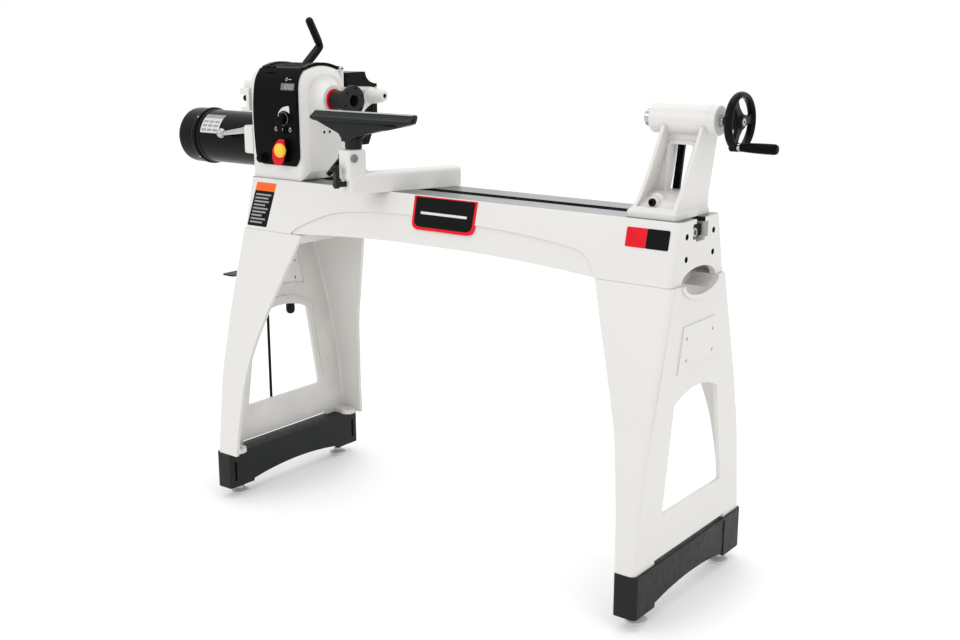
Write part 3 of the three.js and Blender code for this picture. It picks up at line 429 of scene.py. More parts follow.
def stack(axis, levels, outline):
    """A loft through outline(value) for each (place along the axis, value)."""
    return loft([lift(axis, outline(value), t) for t, value in levels])


def combine(operation, base, tools):
    """The exact boolean of a solid with some others."""
    scene = bpy.context.scene
    holder = bpy.data.objects.new("base", base)
    scene.collection.objects.link(holder)
    others = []
    for tool in tools:
        other = bpy.data.objects.new("tool", tool)
        scene.collection.objects.link(other)
        step = holder.modifiers.new("step", "BOOLEAN")
        step.operation = operation
        step.solver = "EXACT"
        step.object = other
        others.append(other)
    depsgraph = bpy.context.evaluated_depsgraph_get()
    made = bpy.data.meshes.new_from_object(holder.evaluated_get(depsgraph))
    for other in [holder, *others]:
        bpy.data.objects.remove(other)
    return made


def join(base, *tools):
    return combine("UNION", base, tools)


def cut(base, *tools):
    return combine("DIFFERENCE", base, tools)


def common(base, *tools):
    return combine("INTERSECT", base, tools)


def heap(*meshes):
    """Separate solids gathered in one mesh."""
    work = bmesh.new()
    for mesh in meshes:
        work.from_mesh(mesh)
    made = bpy.data.meshes.new("heap")
    work.to_mesh(made)
    work.free()
    return made


def clean(mesh):
    """Welds close points and dissolves the flat seams that booleans leave."""
    work = bmesh.new()
    work.from_mesh(mesh)
    bmesh.ops.remove_doubles(work, verts=work.verts, dist=CLOSE)
    bmesh.ops.dissolve_degenerate(work, edges=work.edges, dist=CLOSE)
    bmesh.ops.dissolve_limit(work, angle_limit=radians(FLAT), verts=work.verts, edges=work.edges,
        delimit={"MATERIAL"})
    work.to_mesh(mesh)
    work.free()


def round_edges(obj, bevel, steps, angle):
    """Rounds the edges of an object that are sharper than an angle in degrees."""
    made = obj.modifiers.new("rounding", "BEVEL")
    made.width = bevel * MM
    made.segments = steps
    made.limit_method = "ANGLE"
    made.angle_limit = radians(angle)
    made.harden_normals = True
    return made


def soften(obj, bevel, steps, angle):
    """Rounds the sharp edges of a piece and shades the rest smooth."""
    mesh = obj.data
    if bevel:
        round_edges(obj, bevel, steps, angle).miter_outer = "MITER_ARC"
        weighted = obj.modifiers.new("shading", "WEIGHTED_NORMAL")
        weighted.keep_sharp = True
        weighted.weight = 60
    mesh.polygons.foreach_set("use_smooth", [True] * len(mesh.polygons))
    mesh.set_sharp_from_angle(angle=radians(angle))


def piece(name, mesh, material, body, place=Matrix.Identity(4), replaces=(), bevel=0.8, steps=3,
        angle=28, also=()):
    """Puts a solid in the object's frame as a named piece that rides on a body.

    `also` holds (material, test) pairs: a face whose centre and normal pass the
    test, in the piece's own frame, takes that material instead.
    """
    clean(mesh)
    mesh.materials.clear()
    mesh.materials.append(material)
    mesh.polygons.foreach_set("material_index", [0] * len(mesh.polygons))
    for i, (other, test) in enumerate(also):
        mesh.materials.append(other)
        for face in mesh.polygons:
            if test(face.center, face.normal):
                face.material_index = i + 1
    mesh.transform(place @ Matrix.Scale(MM, 4))
    mesh.name = name
    obj = bpy.data.objects.new(name, mesh)
    bpy.context.scene.collection.objects.link(obj)
    soften(obj, bevel, steps, angle)
    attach(obj, body)
    if replaces:
        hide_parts(*replaces)


def keep(node, material, bevel):
    """A CAD node that stays in view: its own mesh, with a finish and rounded edges."""
    obj = frame["nodes"][node]
    for slot in obj.material_slots:
        slot.material = material
    weld = obj.modifiers.new("weld", "WELD")
    weld.merge_threshold = 1e-5
    flat = obj.modifiers.new("flat", "DECIMATE")
    flat.decimate_type = "DISSOLVE"
    flat.angle_limit = radians(FLAT)
    round_edges(obj, bevel, 2, 30)


# ---- stand ----------------------------------------------------------------------------------
SEAM = 743
LEG_FOOT = 131
BED_HALF = 657.5
WAY_SLOT = 20    # half width of the slot between the ways
FOOT_X = 641
FOOT_Y = 198
BED_BOLTS = [(y, z) for y in (-62, 62) for z in (797, 846)]
FLARE = [(LEG_FOOT, 256), (352, 230), (506, 194), (620, 162), (SEAM, 125), (BED_TOP, 93)]


def half_depth(z):
    """Half depth of the legs and bed at a height."""
    for (z0, w0), (z1, w1) in zip(FLARE, FLARE[1:]):
        if z <= z1 or z1 == FLARE[-1][0]:
            return w0 + (w1 - w0) * (z - z0) / (z1 - z0)
    return FLARE[-1][1]


def flare_curve(z):
    """The legs' half depth with its corners smoothed out."""
    reach = 34
    if z > SEAM - reach:
        return half_depth(z)
    return sum(half_depth(min(max(z + d, LEG_FOOT), SEAM)) for d in (-reach, -reach / 2, 0, reach / 2,
        reach)) / 5


def flared(levels, x0, x1, corner0, corner1):
    """Upright block whose half depth follows (z, half depth), with rounded corners at its ends."""
    rings = []
    for z, w in levels:
        plan = []
        for cx, cy, r, start in ((x1 - corner1, -w + corner1, corner1, -pi / 2),
                (x1 - corner1, w - corner1, corner1, 0), (x0 + corner0, w - corner0, corner0, pi / 2),
                (x0 + corner0, corner0 - w, corner0, pi)):
            plan += ellipse(cx, cy, r, r, start, start + pi / 2, 4)
        rings.append(lift("z", plan, z))
    return loft(rings)


def bed_casting():
    levels = [(SEAM + GAP, 125), (BED_TOP - 5, half_depth(BED_TOP - 5)), (BED_TOP - 1.5, 93.2),
        (BED_TOP, 91.5)]
    body = flared(levels, -BED_HALF, BED_HALF, 13, 13)
    waist = spline([(-485, 735), (-458, 762), (-347, 807), (-242, 822), (-108, 829), (120, 824), (275, 816),
        (405, 801), (442, 783), (458, 762), (470, 735)], 60)
    core = flared([(z, w - 4) for z, w in levels], -BED_HALF - 5, BED_HALF + 5, 13, 13)
    relief = cut(prism("y", waist, -BEYOND, BEYOND), core)
    arch = path((-470, 700), (-470, SEAM), ((-300, 758), (-120, 761), 16), (120, 761),
        ((300, 758), (470, SEAM), 16), (470, 700))
    under = [(SEAM - 8, 125 - 9), (BED_TOP - 14, half_depth(BED_TOP - 14) - 11)]
    inner_end = BED_HALF - 14
    hollow = flared(under, -inner_end, inner_end, 6, 6)
    body = cut(body, relief, prism("y", arch, -BEYOND, BEYOND), hollow)
    ribs = [common(block(x - 5, x + 5, -BEYOND, BEYOND, 764, 790), flared([(z, w + 5) for z, w in under],
        -inner_end, inner_end, 6, 6)) for x in (-300, 0, 300)]
    body = join(body, *ribs)
    slots = [block(-700, 700, -WAY_SLOT, WAY_SLOT, 830, 900), prism("x", box_outline(-35, 35, 836,
        BED_TOP - 10, 5), -700, 700), prism("x", ellipse(0, SEAM + 1, 80, 30), -700, 700)]
    holes = [turn("x", [(0, end * 640), (4, end * 640), (4, end * 654.5), (7, end * 657.5), (7, end * 700),
        (0, end * 700)], (0, y, z), 24) for y, z in BED_BOLTS for end in (-1, 1)]
    body = cut(body, *slots, *holes)
    top = (GROUND, lambda centre, normal: normal.z > 0.9 and centre.z > BED_TOP - 2.5)
    # The slot's walls take the near-black finish: painted shade inside the slot.
    slot = (SLOT_SHADE, lambda centre, normal: abs(centre.y) < WAY_SLOT + 1 and centre.z > BED_TOP - 14
        and abs(normal.z) < 0.8)
    # Painted shade: the walls of the bolt holes in the bed's ends are near black.
    hole_shade = (SHADOW, lambda centre, normal: abs(centre.x) > BED_HALF - 12
        and min(hypot(centre.y - y, centre.z - z) for y, z in BED_BOLTS) < 6.4)
    inside = (WHITE_RAW, lambda centre, normal: abs(centre.x) < inner_end + 1 and centre.z < BED_TOP - 13
        and abs(centre.y) < half_depth(centre.z) - 6 and abs(normal.z) < 0.97)
    piece("bed", body, WHITE, "stand", BED, ["bed_casting"], bevel=2.6, steps=3, angle=24,
        also=[top, inside, slot, hole_shade])


def leg_inner_edge(extra):
    edge = spline([(617, 100), (612, 180), (601, 300), (581, 420), (542, 542), (499, 657), (467, 745),
        (457, 765)], 36)
    return [(u - extra, z) for u, z in edge]


def pad_outline(by):
    low = 548 + by
    return path((by - 97, low), ((0, 574), (97 - by, low), 14), (75 - by, 651 - by), (by - 75, 651 - by))


def window_outline(by=0.0):
    foot = 238 - by
    return path((-134 - by, foot), (134 + by, foot), ((143 + by, foot), (140 + by, 249 - by), 6),
        (102 + by, 480), ((0, 528 + 2 * by), (-102 - by, 480), 20), (-140 - by, 249 - by),
        ((-143 - by, foot), (-134 - by, foot), 6))[:-1]


def leg_casting(side, place, extra):
    outer = 664
    wall = 10
    count = 26
    heights = [LEG_FOOT + GAP + (SEAM - 2 * GAP - LEG_FOOT) * k / count for k in range(count + 1)]
    levels = [(z, flare_curve(z)) for z in heights]
    body = flared(levels, 400, outer, 2, 13)
    inner = [(LEG_FOOT - 10, 257 - wall)] + [(z, flare_curve(z) - wall) for z in heights[1:-1]]
    body = cut(body, flared(inner, 380, outer - wall, 2, 6))
    edge = leg_inner_edge(extra)
    body = cut(body, prism("y", edge + [(380, 765), (380, 100)], -300, 300))
    lip = common(prism("x", ellipse(0, SEAM + 1, 90, 40), outer - 3, outer + 4),
        block(600, 700, -BEYOND, BEYOND, 600, SEAM - GAP))
    # A raised line follows the window's sides and head on the inner face.
    line = cut(prism("x", window_outline(26), outer - wall - 3.5, outer - wall + 1),
        prism("x", window_outline(19), 600, 700))
    line = common(line, block(600, 700, -300, 300, 262, 600))
    body = join(body, prism("x", pad_outline(0), outer - 3, outer + 3), lip, line)
    holes = [rod("x", 4.2, 600, 700, (0, y, z), 24) for y in (-61, 61) for z in (574, 623)]
    body = cut(body, prism("x", window_outline(), 600, 700), prism("x", pad_outline(5), outer - 20,
        outer - wall + 3), prism("x", ellipse(0, SEAM + 1, 80, 30), 600, 700),
        block(600, 700, -168, 168, 100, 140), *holes)
    shift = extra / 2
    tabs = []
    bores = []
    for end in (-1, 1):
        tab = join(rod("z", 24, LEG_FOOT + GAP, LEG_FOOT + 12, (632 - shift, end * 222, 0)),
            block(632 - shift, outer - 5, end * 222 - 20, end * 222 + 20, LEG_FOOT + GAP, LEG_FOOT + 12))
        tabs.append(common(tab, flared(levels, 500, outer - 1, 2, 13)))
        bores.append(rod("z", 5, 100, 200, (626 - shift, end * 218, 0), 24))
    body = cut(join(body, *tabs), *bores)
    inside = (WHITE_RAW, lambda centre, normal: centre.x < outer - wall + 1 and normal.x < -0.9)
    piece(f"leg_{side}_shell", body, WHITE, "stand", place, [f"leg_{side}"], bevel=2.4, steps=3, angle=26,
        also=[inside])


def foot_base(side, place):
    body = flared([(31, 256), (35, 256), (120, 256), (131, 256)], 613, 669.5, 5, 12)
    arch = path((-169, 10), (-169, 38), ((0, 68), (169, 38), 24), (169, 10))
    posts = [rod("z", 16, 31, 120, (FOOT_X, y, 0)) for y in (-FOOT_Y, FOOT_Y)]
    body = cut(join(cut(body, block(622, 661, -244, 244, 10, 118)), *posts), prism("x", arch, 600, 700),
        block(667.3, 700, -168, 168, 20, 126), *[block(600, 625, y - 4, y + 4, 50, 105)
        for y in (-236, 236)])
    piece(f"base_{side}", body, DARK, "stand", place, [f"foot_base_{side}"], bevel=2.2, steps=3)


def leveling_foot(mark, place, y):
    body = f"leveling_foot_{mark}"
    at = (FOOT_X, y, 0)
    profile = [(0, 0), (24, 0), (26, 1.6), (26, 5), (24.6, 7.6), (20, 9.4), (14, 11), (8, 11.6), (8, 13),
        (0, 13)]
    pad = turn("z", profile, at)
    nut = hexagon("z", 11.5, 13, 21, at)
    threads = []
    for k in range(9):
        threads += [(5.2, 21 + k * 1.1), (6, 21.5 + k * 1.1)]
    stud = turn("z", [(0, 12), (6, 12), (6, 20.8)] + threads + [(5.2, 30.7), (0, 30.7)], at, 32)
    piece(f"foot_pad_{mark}", pad, PAD, body, place, [body], bevel=0.5)
    piece(f"foot_stud_{mark}", heap(nut, stud), STEEL, body, place, bevel=0.4)


def bed_stop():
    body = prism("x", box_outline(-31, 31, 838, 863, 3), 629, 643)
    bolt = turn("x", [(0, 640), (9.5, 640), (10, 641), (10, 654), (9, 655), (6, 655), (6, 648), (0, 648)],
        (0, -20, 850.5))
    piece("bed_stop_bar", cut(body, block(600, 700, 2, 12, 848, 853)), BLACK, "stand", LEG_RIGHT,
        ["bed_end_stop"], bevel=1.0)
    piece("bed_stop_bolt", bolt, STEEL, "stand", LEG_RIGHT, bevel=0.5)


SHELF_TOOLS = {"knockout": (690, 22, 4.6), "wrench": (690, -68, 5.6)}


def tool_shelf():
    back = prism("x", box_outline(-70, 70, 562, 614, 9), 667.4, 670.4)
    shelf = prism("z", box_outline(667.4, 715, -100, 165, 12), 610, 614)
    notches = []
    for u, v, r in SHELF_TOOLS.values():
        notches += [block(u, 720, v - r, v + r, 600, 620), rod("z", r, 600, 620, (u, v, 0), 32)]
    body = cut(join(back, shelf), *notches)
    piece("shelf", body, DARK, "stand", LEG_LEFT, ["tool_shelf"], bevel=1.0)
    screws = [screw_head("x", 5, 670.4, 3, (0, y, 588)) for y in (-50, 50)]
    piece("shelf_screws", heap(*screws), BLACK, "stand", LEG_LEFT, bevel=0.3)


def screw_head(axis, radius, start, height, at):
    """Button-head socket screw standing on a face at `start`."""
    crown = [(0, start), (radius, start), (radius * 0.97, start + height * 0.45),
        (radius * 0.8, start + height * 0.85), (radius * 0.6, start + height), (0, start + height)]
    head = turn(axis, crown, at, 32)
    return cut(head, hexagon(axis, radius * 0.5, start + height * 0.35, start + height * 1.5, at))


def knockout_bar():
    u, v, _ = SHELF_TOOLS["knockout"]
    profile = [(0, 150), (2.6, 150), (4, 152), (4, 614.4), (8.4, 614.4), (9, 616), (9, 636), (7, 640),
        (0, 640)]
    piece("knockout_rod", turn("z", profile, (u, v, 0), 40), BLACK, "knockout_bar", LEG_LEFT,
        ["knockout_bar"], bevel=0.4)


def faceplate_wrench():
    u, v, _ = SHELF_TOOLS["wrench"]
    grip = [(0, 460), (5, 460.3), (9.5, 463), (12.4, 468), (13, 474)]
    for k in range(6):
        z = 484 + 11 * k
        grip += [(13, z - 3), (12.2, z), (13, z + 3)]
    grip += [(12.4, 553), (10, 557), (0, 557)]
    shank = turn("z", [(0, 556), (5, 556), (5, 614.4), (10.6, 614.4), (11, 616), (11, 632), (9.6, 634),
        (0, 634)], (u, v, 0), 40)
    piece("wrench_grip", turn("z", grip, (u, v, 0)), GRIP, "faceplate_wrench", LEG_LEFT,
        ["faceplate_wrench"], bevel=0.3)
    piece("wrench_shank", shank, STEEL, "faceplate_wrench", LEG_LEFT, bevel=0.3)


def on_bed_front(outline, proud, depth):
    """A thin plate on the bed's sloping front, `proud` over it and `depth` into it."""
    front = [(x, -half_depth(z) - proud, z) for x, z in outline]
    back = [(x, -half_depth(z) + depth, z) for x, z in outline]
    return loft([front, back])


def bed_badges():
    emblem = path((-72, 878), (122, 878), ((122, 878), (121, 816), 2), ((120, 798), (98, 798), 8),
        (-48, 798), ((-70, 798), (-71, 816), 8))
    border = on_bed_front(emblem, 1.0, 4.3)
    middle = (25, 838)
    field = [(middle[0] + (x - middle[0]) * 0.93, middle[1] + 2.5 + (z - middle[1]) * 0.88) for x,
        z in emblem]
    piece("emblem_border", border, BADGE_RED, "stand", BED, bevel=0.5)
    piece("emblem_field", on_bed_front(field, 1.5, 2), BADGE_BLACK, "stand", BED,
        bevel=0.3)
    stripe = box_outline(-46, 96, 836, 842, 2)
    piece("emblem_stripe", on_bed_front(stripe, 1.9, 1), INK, "stand", BED, bevel=0.2)
    left = box_outline(531, 584, 820, 862, 4)
    right = box_outline(582, 637, 820, 862, 4)
    piece("end_badge_red", on_bed_front(left, 0.9, 1), BADGE_RED, "stand", BED, bevel=0.3)
    piece("end_badge_black", on_bed_front(right, 1.1, 1), BADGE_BLACK, "stand", BED,
        bevel=0.3)
    skew = 18 / 116

    def leaning(u0, u1, z0, z1, radius):
        return [(x - (868 - z) * skew, z) for x, z in box_outline(u0, u1, z0, z1, radius)]

    piece("side_label_head", on_bed_front(leaning(-629, -555, 846, 868, 3), 0.7, 1), ORANGE, "stand", BED,
        bevel=0.2)
    piece("side_label_body", on_bed_front(leaning(-629, -555, 752, 847, 3), 0.6, 1), BADGE_BLACK, "stand",
        BED, bevel=0.2)
    rows = []
    for k in range(9):
        z = 836 - 9.2 * k
        width = (58, 50, 55, 44, 57, 52, 40, 56, 47)[k]
        rows.append(on_bed_front(leaning(-622, -622 + width, z - 2.2, z + 2.2, 1), 0.9, 0.5))
    piece("side_label_rows", heap(*rows), LABEL_GREY, "stand", BED, bevel=0)


def stand():
    bed_casting()
    leg_casting("right", LEG_RIGHT, 0)
    leg_casting("left", LEG_LEFT, 28)
    for side, place in (("right", LEG_RIGHT), ("left", LEG_LEFT)):
        foot_base(side, place)
        for mark, y in (("a", -FOOT_Y), ("b", FOOT_Y)):
            leveling_foot(f"{side}_{mark}", place, y)
    bed_stop()
    tool_shelf()
    knockout_bar()
    faceplate_wrench()
    bed_badges()


# ---- headstock ------------------------------------------------------------------------------
HEAD_LENGTH = 197
CHEEK_HALF = 86
CAVITY = (22, 155)
PANEL_SIDES = (21, 183)
AXIS = (0, 0, AXIS_Z)
MOTOR_AT = (0, MOTOR_Y, MOTOR_Z)
PANEL_FACE = spline([(-90, 917), (-95, 965), (-98, 1040), (-95, 1098), (-86, 1142), (-66, 1171)], 48)
SWITCH_HOLE = (104, 145, 928, 984)
SPEED_KNOB = (137, 0, 1043)
ARM_BOSS = (0, 148, 1095)
SPINDLE_HOLES = [(-9, 1004.6), (12, 1004.6)]
head_at = {name: place - Vector((HEAD.translation.x, 0, 0)) for name, place in pivot.items()}


def local(joint):
    """A joint's place in the headstock's own frame, in millimetres."""
    return head_at[joint] / MM


def cheek(by=0.0):
    """End view of the headstock, grown outwards by `by`."""
    half = CHEEK_HALF + by
    foot = BED_TOP + GAP
    low = (half, 1112)
    high = (62, 1166 + by)
    return path((-half, foot), (half, foot), low, ((half, 1152 + by), high, 10),
        ((0, 1190 + by), (-62, 1166 + by), 20), ((-half, 1152 + by), (-half, 1112), 10))


def shrunk(outline, by, centre):
    """An outline drawn in towards a point by about `by` on every side."""
    width = max(p[0] for p in outline) - centre[0]
    height = max(p[1] for p in outline) - centre[1]
    return [(centre[0] + (u - centre[0]) * (1 - by / width), centre[1] + (v - centre[1]) * (1 - by / height))
        for u, v in outline]


def headstock_casting():
    left, right = CAVITY
    middle = (0, 1030)
    outline = cheek()
    levels = [(0, 6), (1.5, 3.2), (4, 1), (7, 0), (HEAD_LENGTH - 18, 0), (HEAD_LENGTH - 15, 0.8),
        (HEAD_LENGTH - 11, 4), (HEAD_LENGTH - 6, 11), (HEAD_LENGTH - 1.5, 20.5), (HEAD_LENGTH, 24)]
    foot = BED_TOP + GAP
    body = stack("x", levels, lambda by: [(u, max(v, foot)) for u, v in shrunk(outline, by, middle)])
    dome = [(0, 185), (64, 185), (62, 197.2), (58.5, 198.4), (53, 200.4), (48.6, 203.6), (45.2, 208),
        (42.8, 213.6), (41, 220), (40, 224), (39, 226.2), (37, 227), (0, 227)]
    body = cut(body, block(left, right, -130, 74, 919, 1210), block(left, right, -70, 74, 905, 920))
    body = join(body, turn("x", dome, AXIS, 96), rod("x", 38, right - 14, right + 2, AXIS),
        rod("x", 38, left - 2, left + 12, AXIS))
    lock = local("motor_lock_turn")
    clamp = local("headstock_clamp_turn")
    tilt = local("motor_tilt")
    hinge = local("top_cover_hinge")
    body = cut(body, rod("x", 26.6, right - 20, 205, AXIS), rod("x", 20, 100, 240, AXIS),
        rod("x", 26.6, 6, left + 20, AXIS), rod("x", 20, -10, 100, AXIS), rod("x", 34, -10, left + 2,
        MOTOR_AT), rod("z", 9, 870, 910, (clamp.x, 0, 0)), rod("y", 6.6, -68, 120, (clamp.x, 0, clamp.z)),
        *[rod("x", 4, 190, 230, (0, y, z), 24) for y, z in SPINDLE_HOLES])
    bracket = prism("x", box_outline(-86, -54, 941, 1017, 8), -30, 2)
    ear = block(-58, -24, -56, -46, lock.z - 11, lock.z + 11)
    lugs = []
    for start, end in ((3, 20), (183, 192)):
        lugs.append(rod("x", 4.6, start, end, (0, hinge.y, hinge.z)))
        lugs.append(block(start, end, hinge.y - 4.6, hinge.y + 4, 1120, hinge.z))
    body = join(body, rod("x", 6, -12, 4, (0, tilt.y, tilt.z)), bracket, ear, *lugs)
    body = cut(body, rod("y", 4.4, -80, -40, (lock.x, 0, lock.z)))
    pin = rod("x", 2.2, 10, 190, (0, hinge.y, hinge.z), 24)
    inside = (WHITE_RAW, lambda c, n: left - 1 < c.x < right + 1 and abs(c.y) < 85 and 904 < c.z < 1166)
    # Painted shade: the walls of the two small holes in the right cheek are near black.
    hole_shade = (SHADOW, lambda c, n: c.x > 185 and min(hypot(c.y - y, c.z - z) for y,
        z in SPINDLE_HOLES) < 4.1)
    piece("headstock_shell", body, WHITE, "headstock", HEAD, ["headstock_casting"], bevel=1.8, steps=3,
        angle=26, also=[inside, hole_shade])
    piece("cover_hinge_pin", pin, STEEL, "headstock", HEAD, bevel=0.2)


def panel_y(z):
    for (y0, z0), (y1, z1) in zip(PANEL_FACE, PANEL_FACE[1:]):
        if z <= z1:
            return y0 + (y1 - y0) * (z - z0) / (z1 - z0)
    return PANEL_FACE[-1][0]


def on_panel(outline, proud, depth=2.0):
    """A thin plate on the control panel's curved face."""
    front = [(x, panel_y(z) - proud, z) for x, z in outline]
    back = [(x, panel_y(z) + depth, z) for x, z in outline]
    return loft([front, back])


def control_panel():
    x0, x1, z0, z1 = SWITCH_HOLE
    section = PANEL_FACE + path((-63, 1169), ((-86.9, 1154), (-86.9, 1112), 10), (-86.9, 917))
    left, right = PANEL_SIDES
    front = rounded([(left, 938), (left + 20, 918), (right - 14, 918), (right, 940), (right, 1200),
        (left, 1200)], 7)
    body = common(prism("x", section, left, right), prism("y", front, -130, -60))
    slot = box_outline(50, 91, 1155.6, 1160.4, 2.3)
    window = box_outline(121.5, 172, 1116, 1135, 2)
    body = cut(body, block(x0, x1, -140, -80, z0, z1), on_panel(slot, 3, 5), on_panel(window, 3, 1.2))
    piece("panel_shell", body, PLASTIC, "headstock", HEAD, ["control_panel"], bevel=2.2, steps=4, angle=30)
    glass = on_panel(box_outline(122, 171.5, 1116.5, 1134.5, 1.6), -0.6, 1.4)
    piece("display_window", glass, GLASS, "headstock", HEAD, bevel=0.2)
    digits = []
    for k in range(4):
        digits += seven_segments(129 + 10.4 * k, 1120, 6.6, 11.2, "abcdef" if k else "bc")
    piece("display_digits", heap(*digits), DIGIT, "headstock", HEAD, bevel=0)
    shade = on_panel(box_outline(50.4, 90.6, 1156, 1160, 1.8), -3.2, 4.4)
    piece("slot_shadow", shade, SHADOW, "headstock", HEAD, bevel=0)


def seven_segments(u, v, width, height, lit):
    """One digit of the display, leaning a little, as short bars on the panel's face."""
    t = 1.25
    half = height / 2
    bars = {"a": (0, width, height - t, height), "d": (0, width, 0, t), "g": (0, width, half - t / 2,
        half + t / 2), "f": (0, t, half, height), "b": (width - t, width, half, height),
        "e": (0, t, 0, half), "c": (width - t, width, 0, half)}
    made = []
    for key in lit:
        a0, a1, b0, b1 = bars[key]
        outline = [(u + a + 0.12 * b, v + b) for a, b in ((a0, b0), (a1, b0), (a1, b1), (a0, b1))]
        made.append(on_panel(outline, -0.4, 1.0))
    return made


def panel_icons():
    """Small plain marks that show what the display and the two switches set."""
    ring = cut(on_panel(ellipse(140, 1144.5, 4, 4, steps=24), 0.25), on_panel(ellipse(140, 1144.5, 2.9, 2.9,
        steps=24), 3, 6))
    marks = [ring, on_panel(box_outline(147, 158, 1143.6, 1144.8, 0.4), 0.25)]
    for u, side in ((106, -1), (159, 1)):
        marks.append(on_panel(ellipse(u, 1013.5, 4.4, 4.4, pi / 2, 2.2 * pi, 20)
            + ellipse(u, 1013.5, 3.4, 3.4, pi / 2, 2.2 * pi, 20)[::-1], 0.25))
        tip = [(u + side * 3.2, 1019.4), (u - side * 1.4, 1021), (u - side * 0.6, 1015.6)]
        marks.append(on_panel(tip, 0.25))
    piece("panel_icons", heap(*marks), INK, "headstock", HEAD, bevel=0)
    scale = path((115, 1053), ((126, 1076), (157, 1076), 24), (159, 1057), ((136, 1072), (115, 1053),
        24))[:-1]
    piece("speed_scale", on_panel(scale, 0.3), INK, "headstock", HEAD, bevel=0)


def top_cover():
    left, right = PANEL_SIDES[0] + 2, PANEL_SIDES[1] - 1
    hinge = local("top_cover_hinge")

    def band(low, high):
        lower = path((-61, 1167.5 + low), ((0, 1191 + low), (61, 1167.5 + low), 30))
        upper = path((63, 1167.5 + high), ((0, 1191 + high), (-61, 1167.5 + high), 30))
        return lower + upper

    body = cut(prism("x", band(1, 7), left, right), prism("x", band(4, 30), left + 16, right - 16))
    ridges = [common(prism("x", band(2, 5.2), left + 10, right - 10), block(left, right, y - 1.5, y + 1.5,
        1150, 1200)) for y in range(-39, 52, 13)]
    body = join(body, block(left, right, 58, hinge.y, hinge.z - 1, hinge.z + 3),
        rod("x", 5, left, right, (0, hinge.y, hinge.z)), *ridges)
    body = cut(body, rod("x", 2.6, left - 5, right + 5, (0, hinge.y, hinge.z)),
        block(45, 70, -70, -53, 1160, 1190))
    piece("cover_lid", body, PLASTIC, "top_cover", HEAD, ["top_cover"], bevel=1.0, steps=3)
    catch = prism("x", rounded([(-61, 1170), (-54, 1170), (-51, 1177), (-57, 1177)], 1.5), 47, 68)
    piece("cover_catch", catch, PLASTIC, "top_cover", HEAD, bevel=0.6)


def inverter_box():
    side = path((112, 955), (200, 955), (238, 1034), (238, 1122), ((196, 1124), (190, 1156), 16),
        (112, 1156))
    left, right = 22, 167
    body = prism("x", side, left, right)
    bosses = [block(x, x + 15, CHEEK_HALF + GAP, 114, 1010, 1100) for x in (40, 140)]
    grooves = [block(right - 3, 200, 124 + 11 * i, 129 + 11 * i, 1044, 1112) for i in range(9)]
    louvres = [block(left + 20 + 14 * i, left + 27 + 14 * i, 234.5, 250, 1050, 1108) for i in range(8)]
    body = cut(join(body, *bosses), *grooves, *louvres)
    piece("inverter_case", body, BLACK, "headstock", HEAD, ["inverter_box"], bevel=2.4, steps=3)
    screws = [screw_head("x", 4, right, 2.2, (0, y, z)) for y, z in ((120, 965), (120, 1146), (188, 968),
        (186, 1138))]
    piece("inverter_screws", heap(*screws), BLACK, "headstock", HEAD, bevel=0.2)


def rear_arm():
    start = HEAD_LENGTH - 14
    outline = path((66, 1062), (66, 1117), (100, 1119), (150, 1118), ((171, 1110), (171, 1095), 10),
        ((170, 1073), (150, 1072), 10), ((120, 1062), (108, 1040), 12), (90, 1030), (66, 1045))
    boss = turn("x", [(0, start), (22, start), (22, 228), (21.6, 240), (20, 254), (17.4, 266), (15, 272.6),
        (13.4, 274.6), (12, 275), (0, 275)], ARM_BOSS, 80)
    pocket = rounded([(98, 1056), (98, 1110), (124, 1110), (120, 1088), (126, 1076)], 4)
    wall = cut(prism("x", outline, start, 226), prism("x", pocket, 214, 230))
    levels = ((start - 1, 0), (HEAD_LENGTH - 8, 8), (HEAD_LENGTH + GAP, 24))
    wall = cut(wall, stack("x", levels, lambda by: shrunk(cheek(GAP), by, (0, 1030))))
    body = cut(join(wall, boss), rod("x", 6.4, 240, 300, ARM_BOSS))
    piece("arm_casting", body, WHITE, "headstock", HEAD, ["rear_arm"], bevel=2.0, steps=3)
    # Painted shade: a near-black tube lines the boss's bore.
    bore = tube("x", 5.4, 6.3, 241, 274, ARM_BOSS, 32)
    piece("arm_bore_shade", bore, SHADOW, "headstock", HEAD, bevel=0)
    placed = []
    for k in range(2):
        screw = turn("z", [(0, 18), (2.6, 18), (2.6, 24.5), (2, 25.2), (0, 25.2)], (0, 0, 0), 24)
        placed.append(moved(screw, spun((236 + 12 * k, 148, 1095), -20 + 34 * k)))
    piece("arm_set_screws", heap(*placed), STEEL, "headstock", HEAD, bevel=0.2)


def knob_profile(radius, length, z):
    """Foot and crown of a knob on the panel along Y, with the profiles of its skirt and cap."""
    rim = radius + 1.5
    y = min(panel_y(z - rim), panel_y(z), panel_y(z + rim)) - 0.3
    crown = y - length
    skirt = [(0, y), (rim, y), (rim, y - 2.2), (rim - 0.8, y - 3), (radius, y - 4)]
    cap = [(radius - 0.6, crown + 3), (radius - 1.6, crown + 1.2), (radius - 3.2, crown + 0.2),
        (radius - 5, crown), (0, crown)]
    return y, crown, skirt, cap


def speed_knob():
    at = SPEED_KNOB
    y, crown, skirt, cap = knob_profile(15, 18, at[2])
    body = turn("y", skirt + cap, at, 96)
    ribs = [moved(rod("y", 1.3, crown + 3, y - 5, (15.2, 0, 0), 12), spun(at, 15 * k, "Y"))
        for k in range(24)]
    body = cut(body, *[heap(*ribs)])
    piece("speed_dial", body, PLASTIC, "speed_knob", HEAD, ["speed_knob"], bevel=0.5)
    ring = tube("y", 15.1, 17, y - 2.2, y - 0.1, at, 96)
    piece("speed_dial_skirt", ring, CHROME, "speed_knob", HEAD, bevel=0.4)
    line = block(136.3, 137.7, crown - 0.3, crown + 1, 1050, 1056)
    piece("speed_dial_pointer", line, INK, "speed_knob", HEAD, bevel=0)


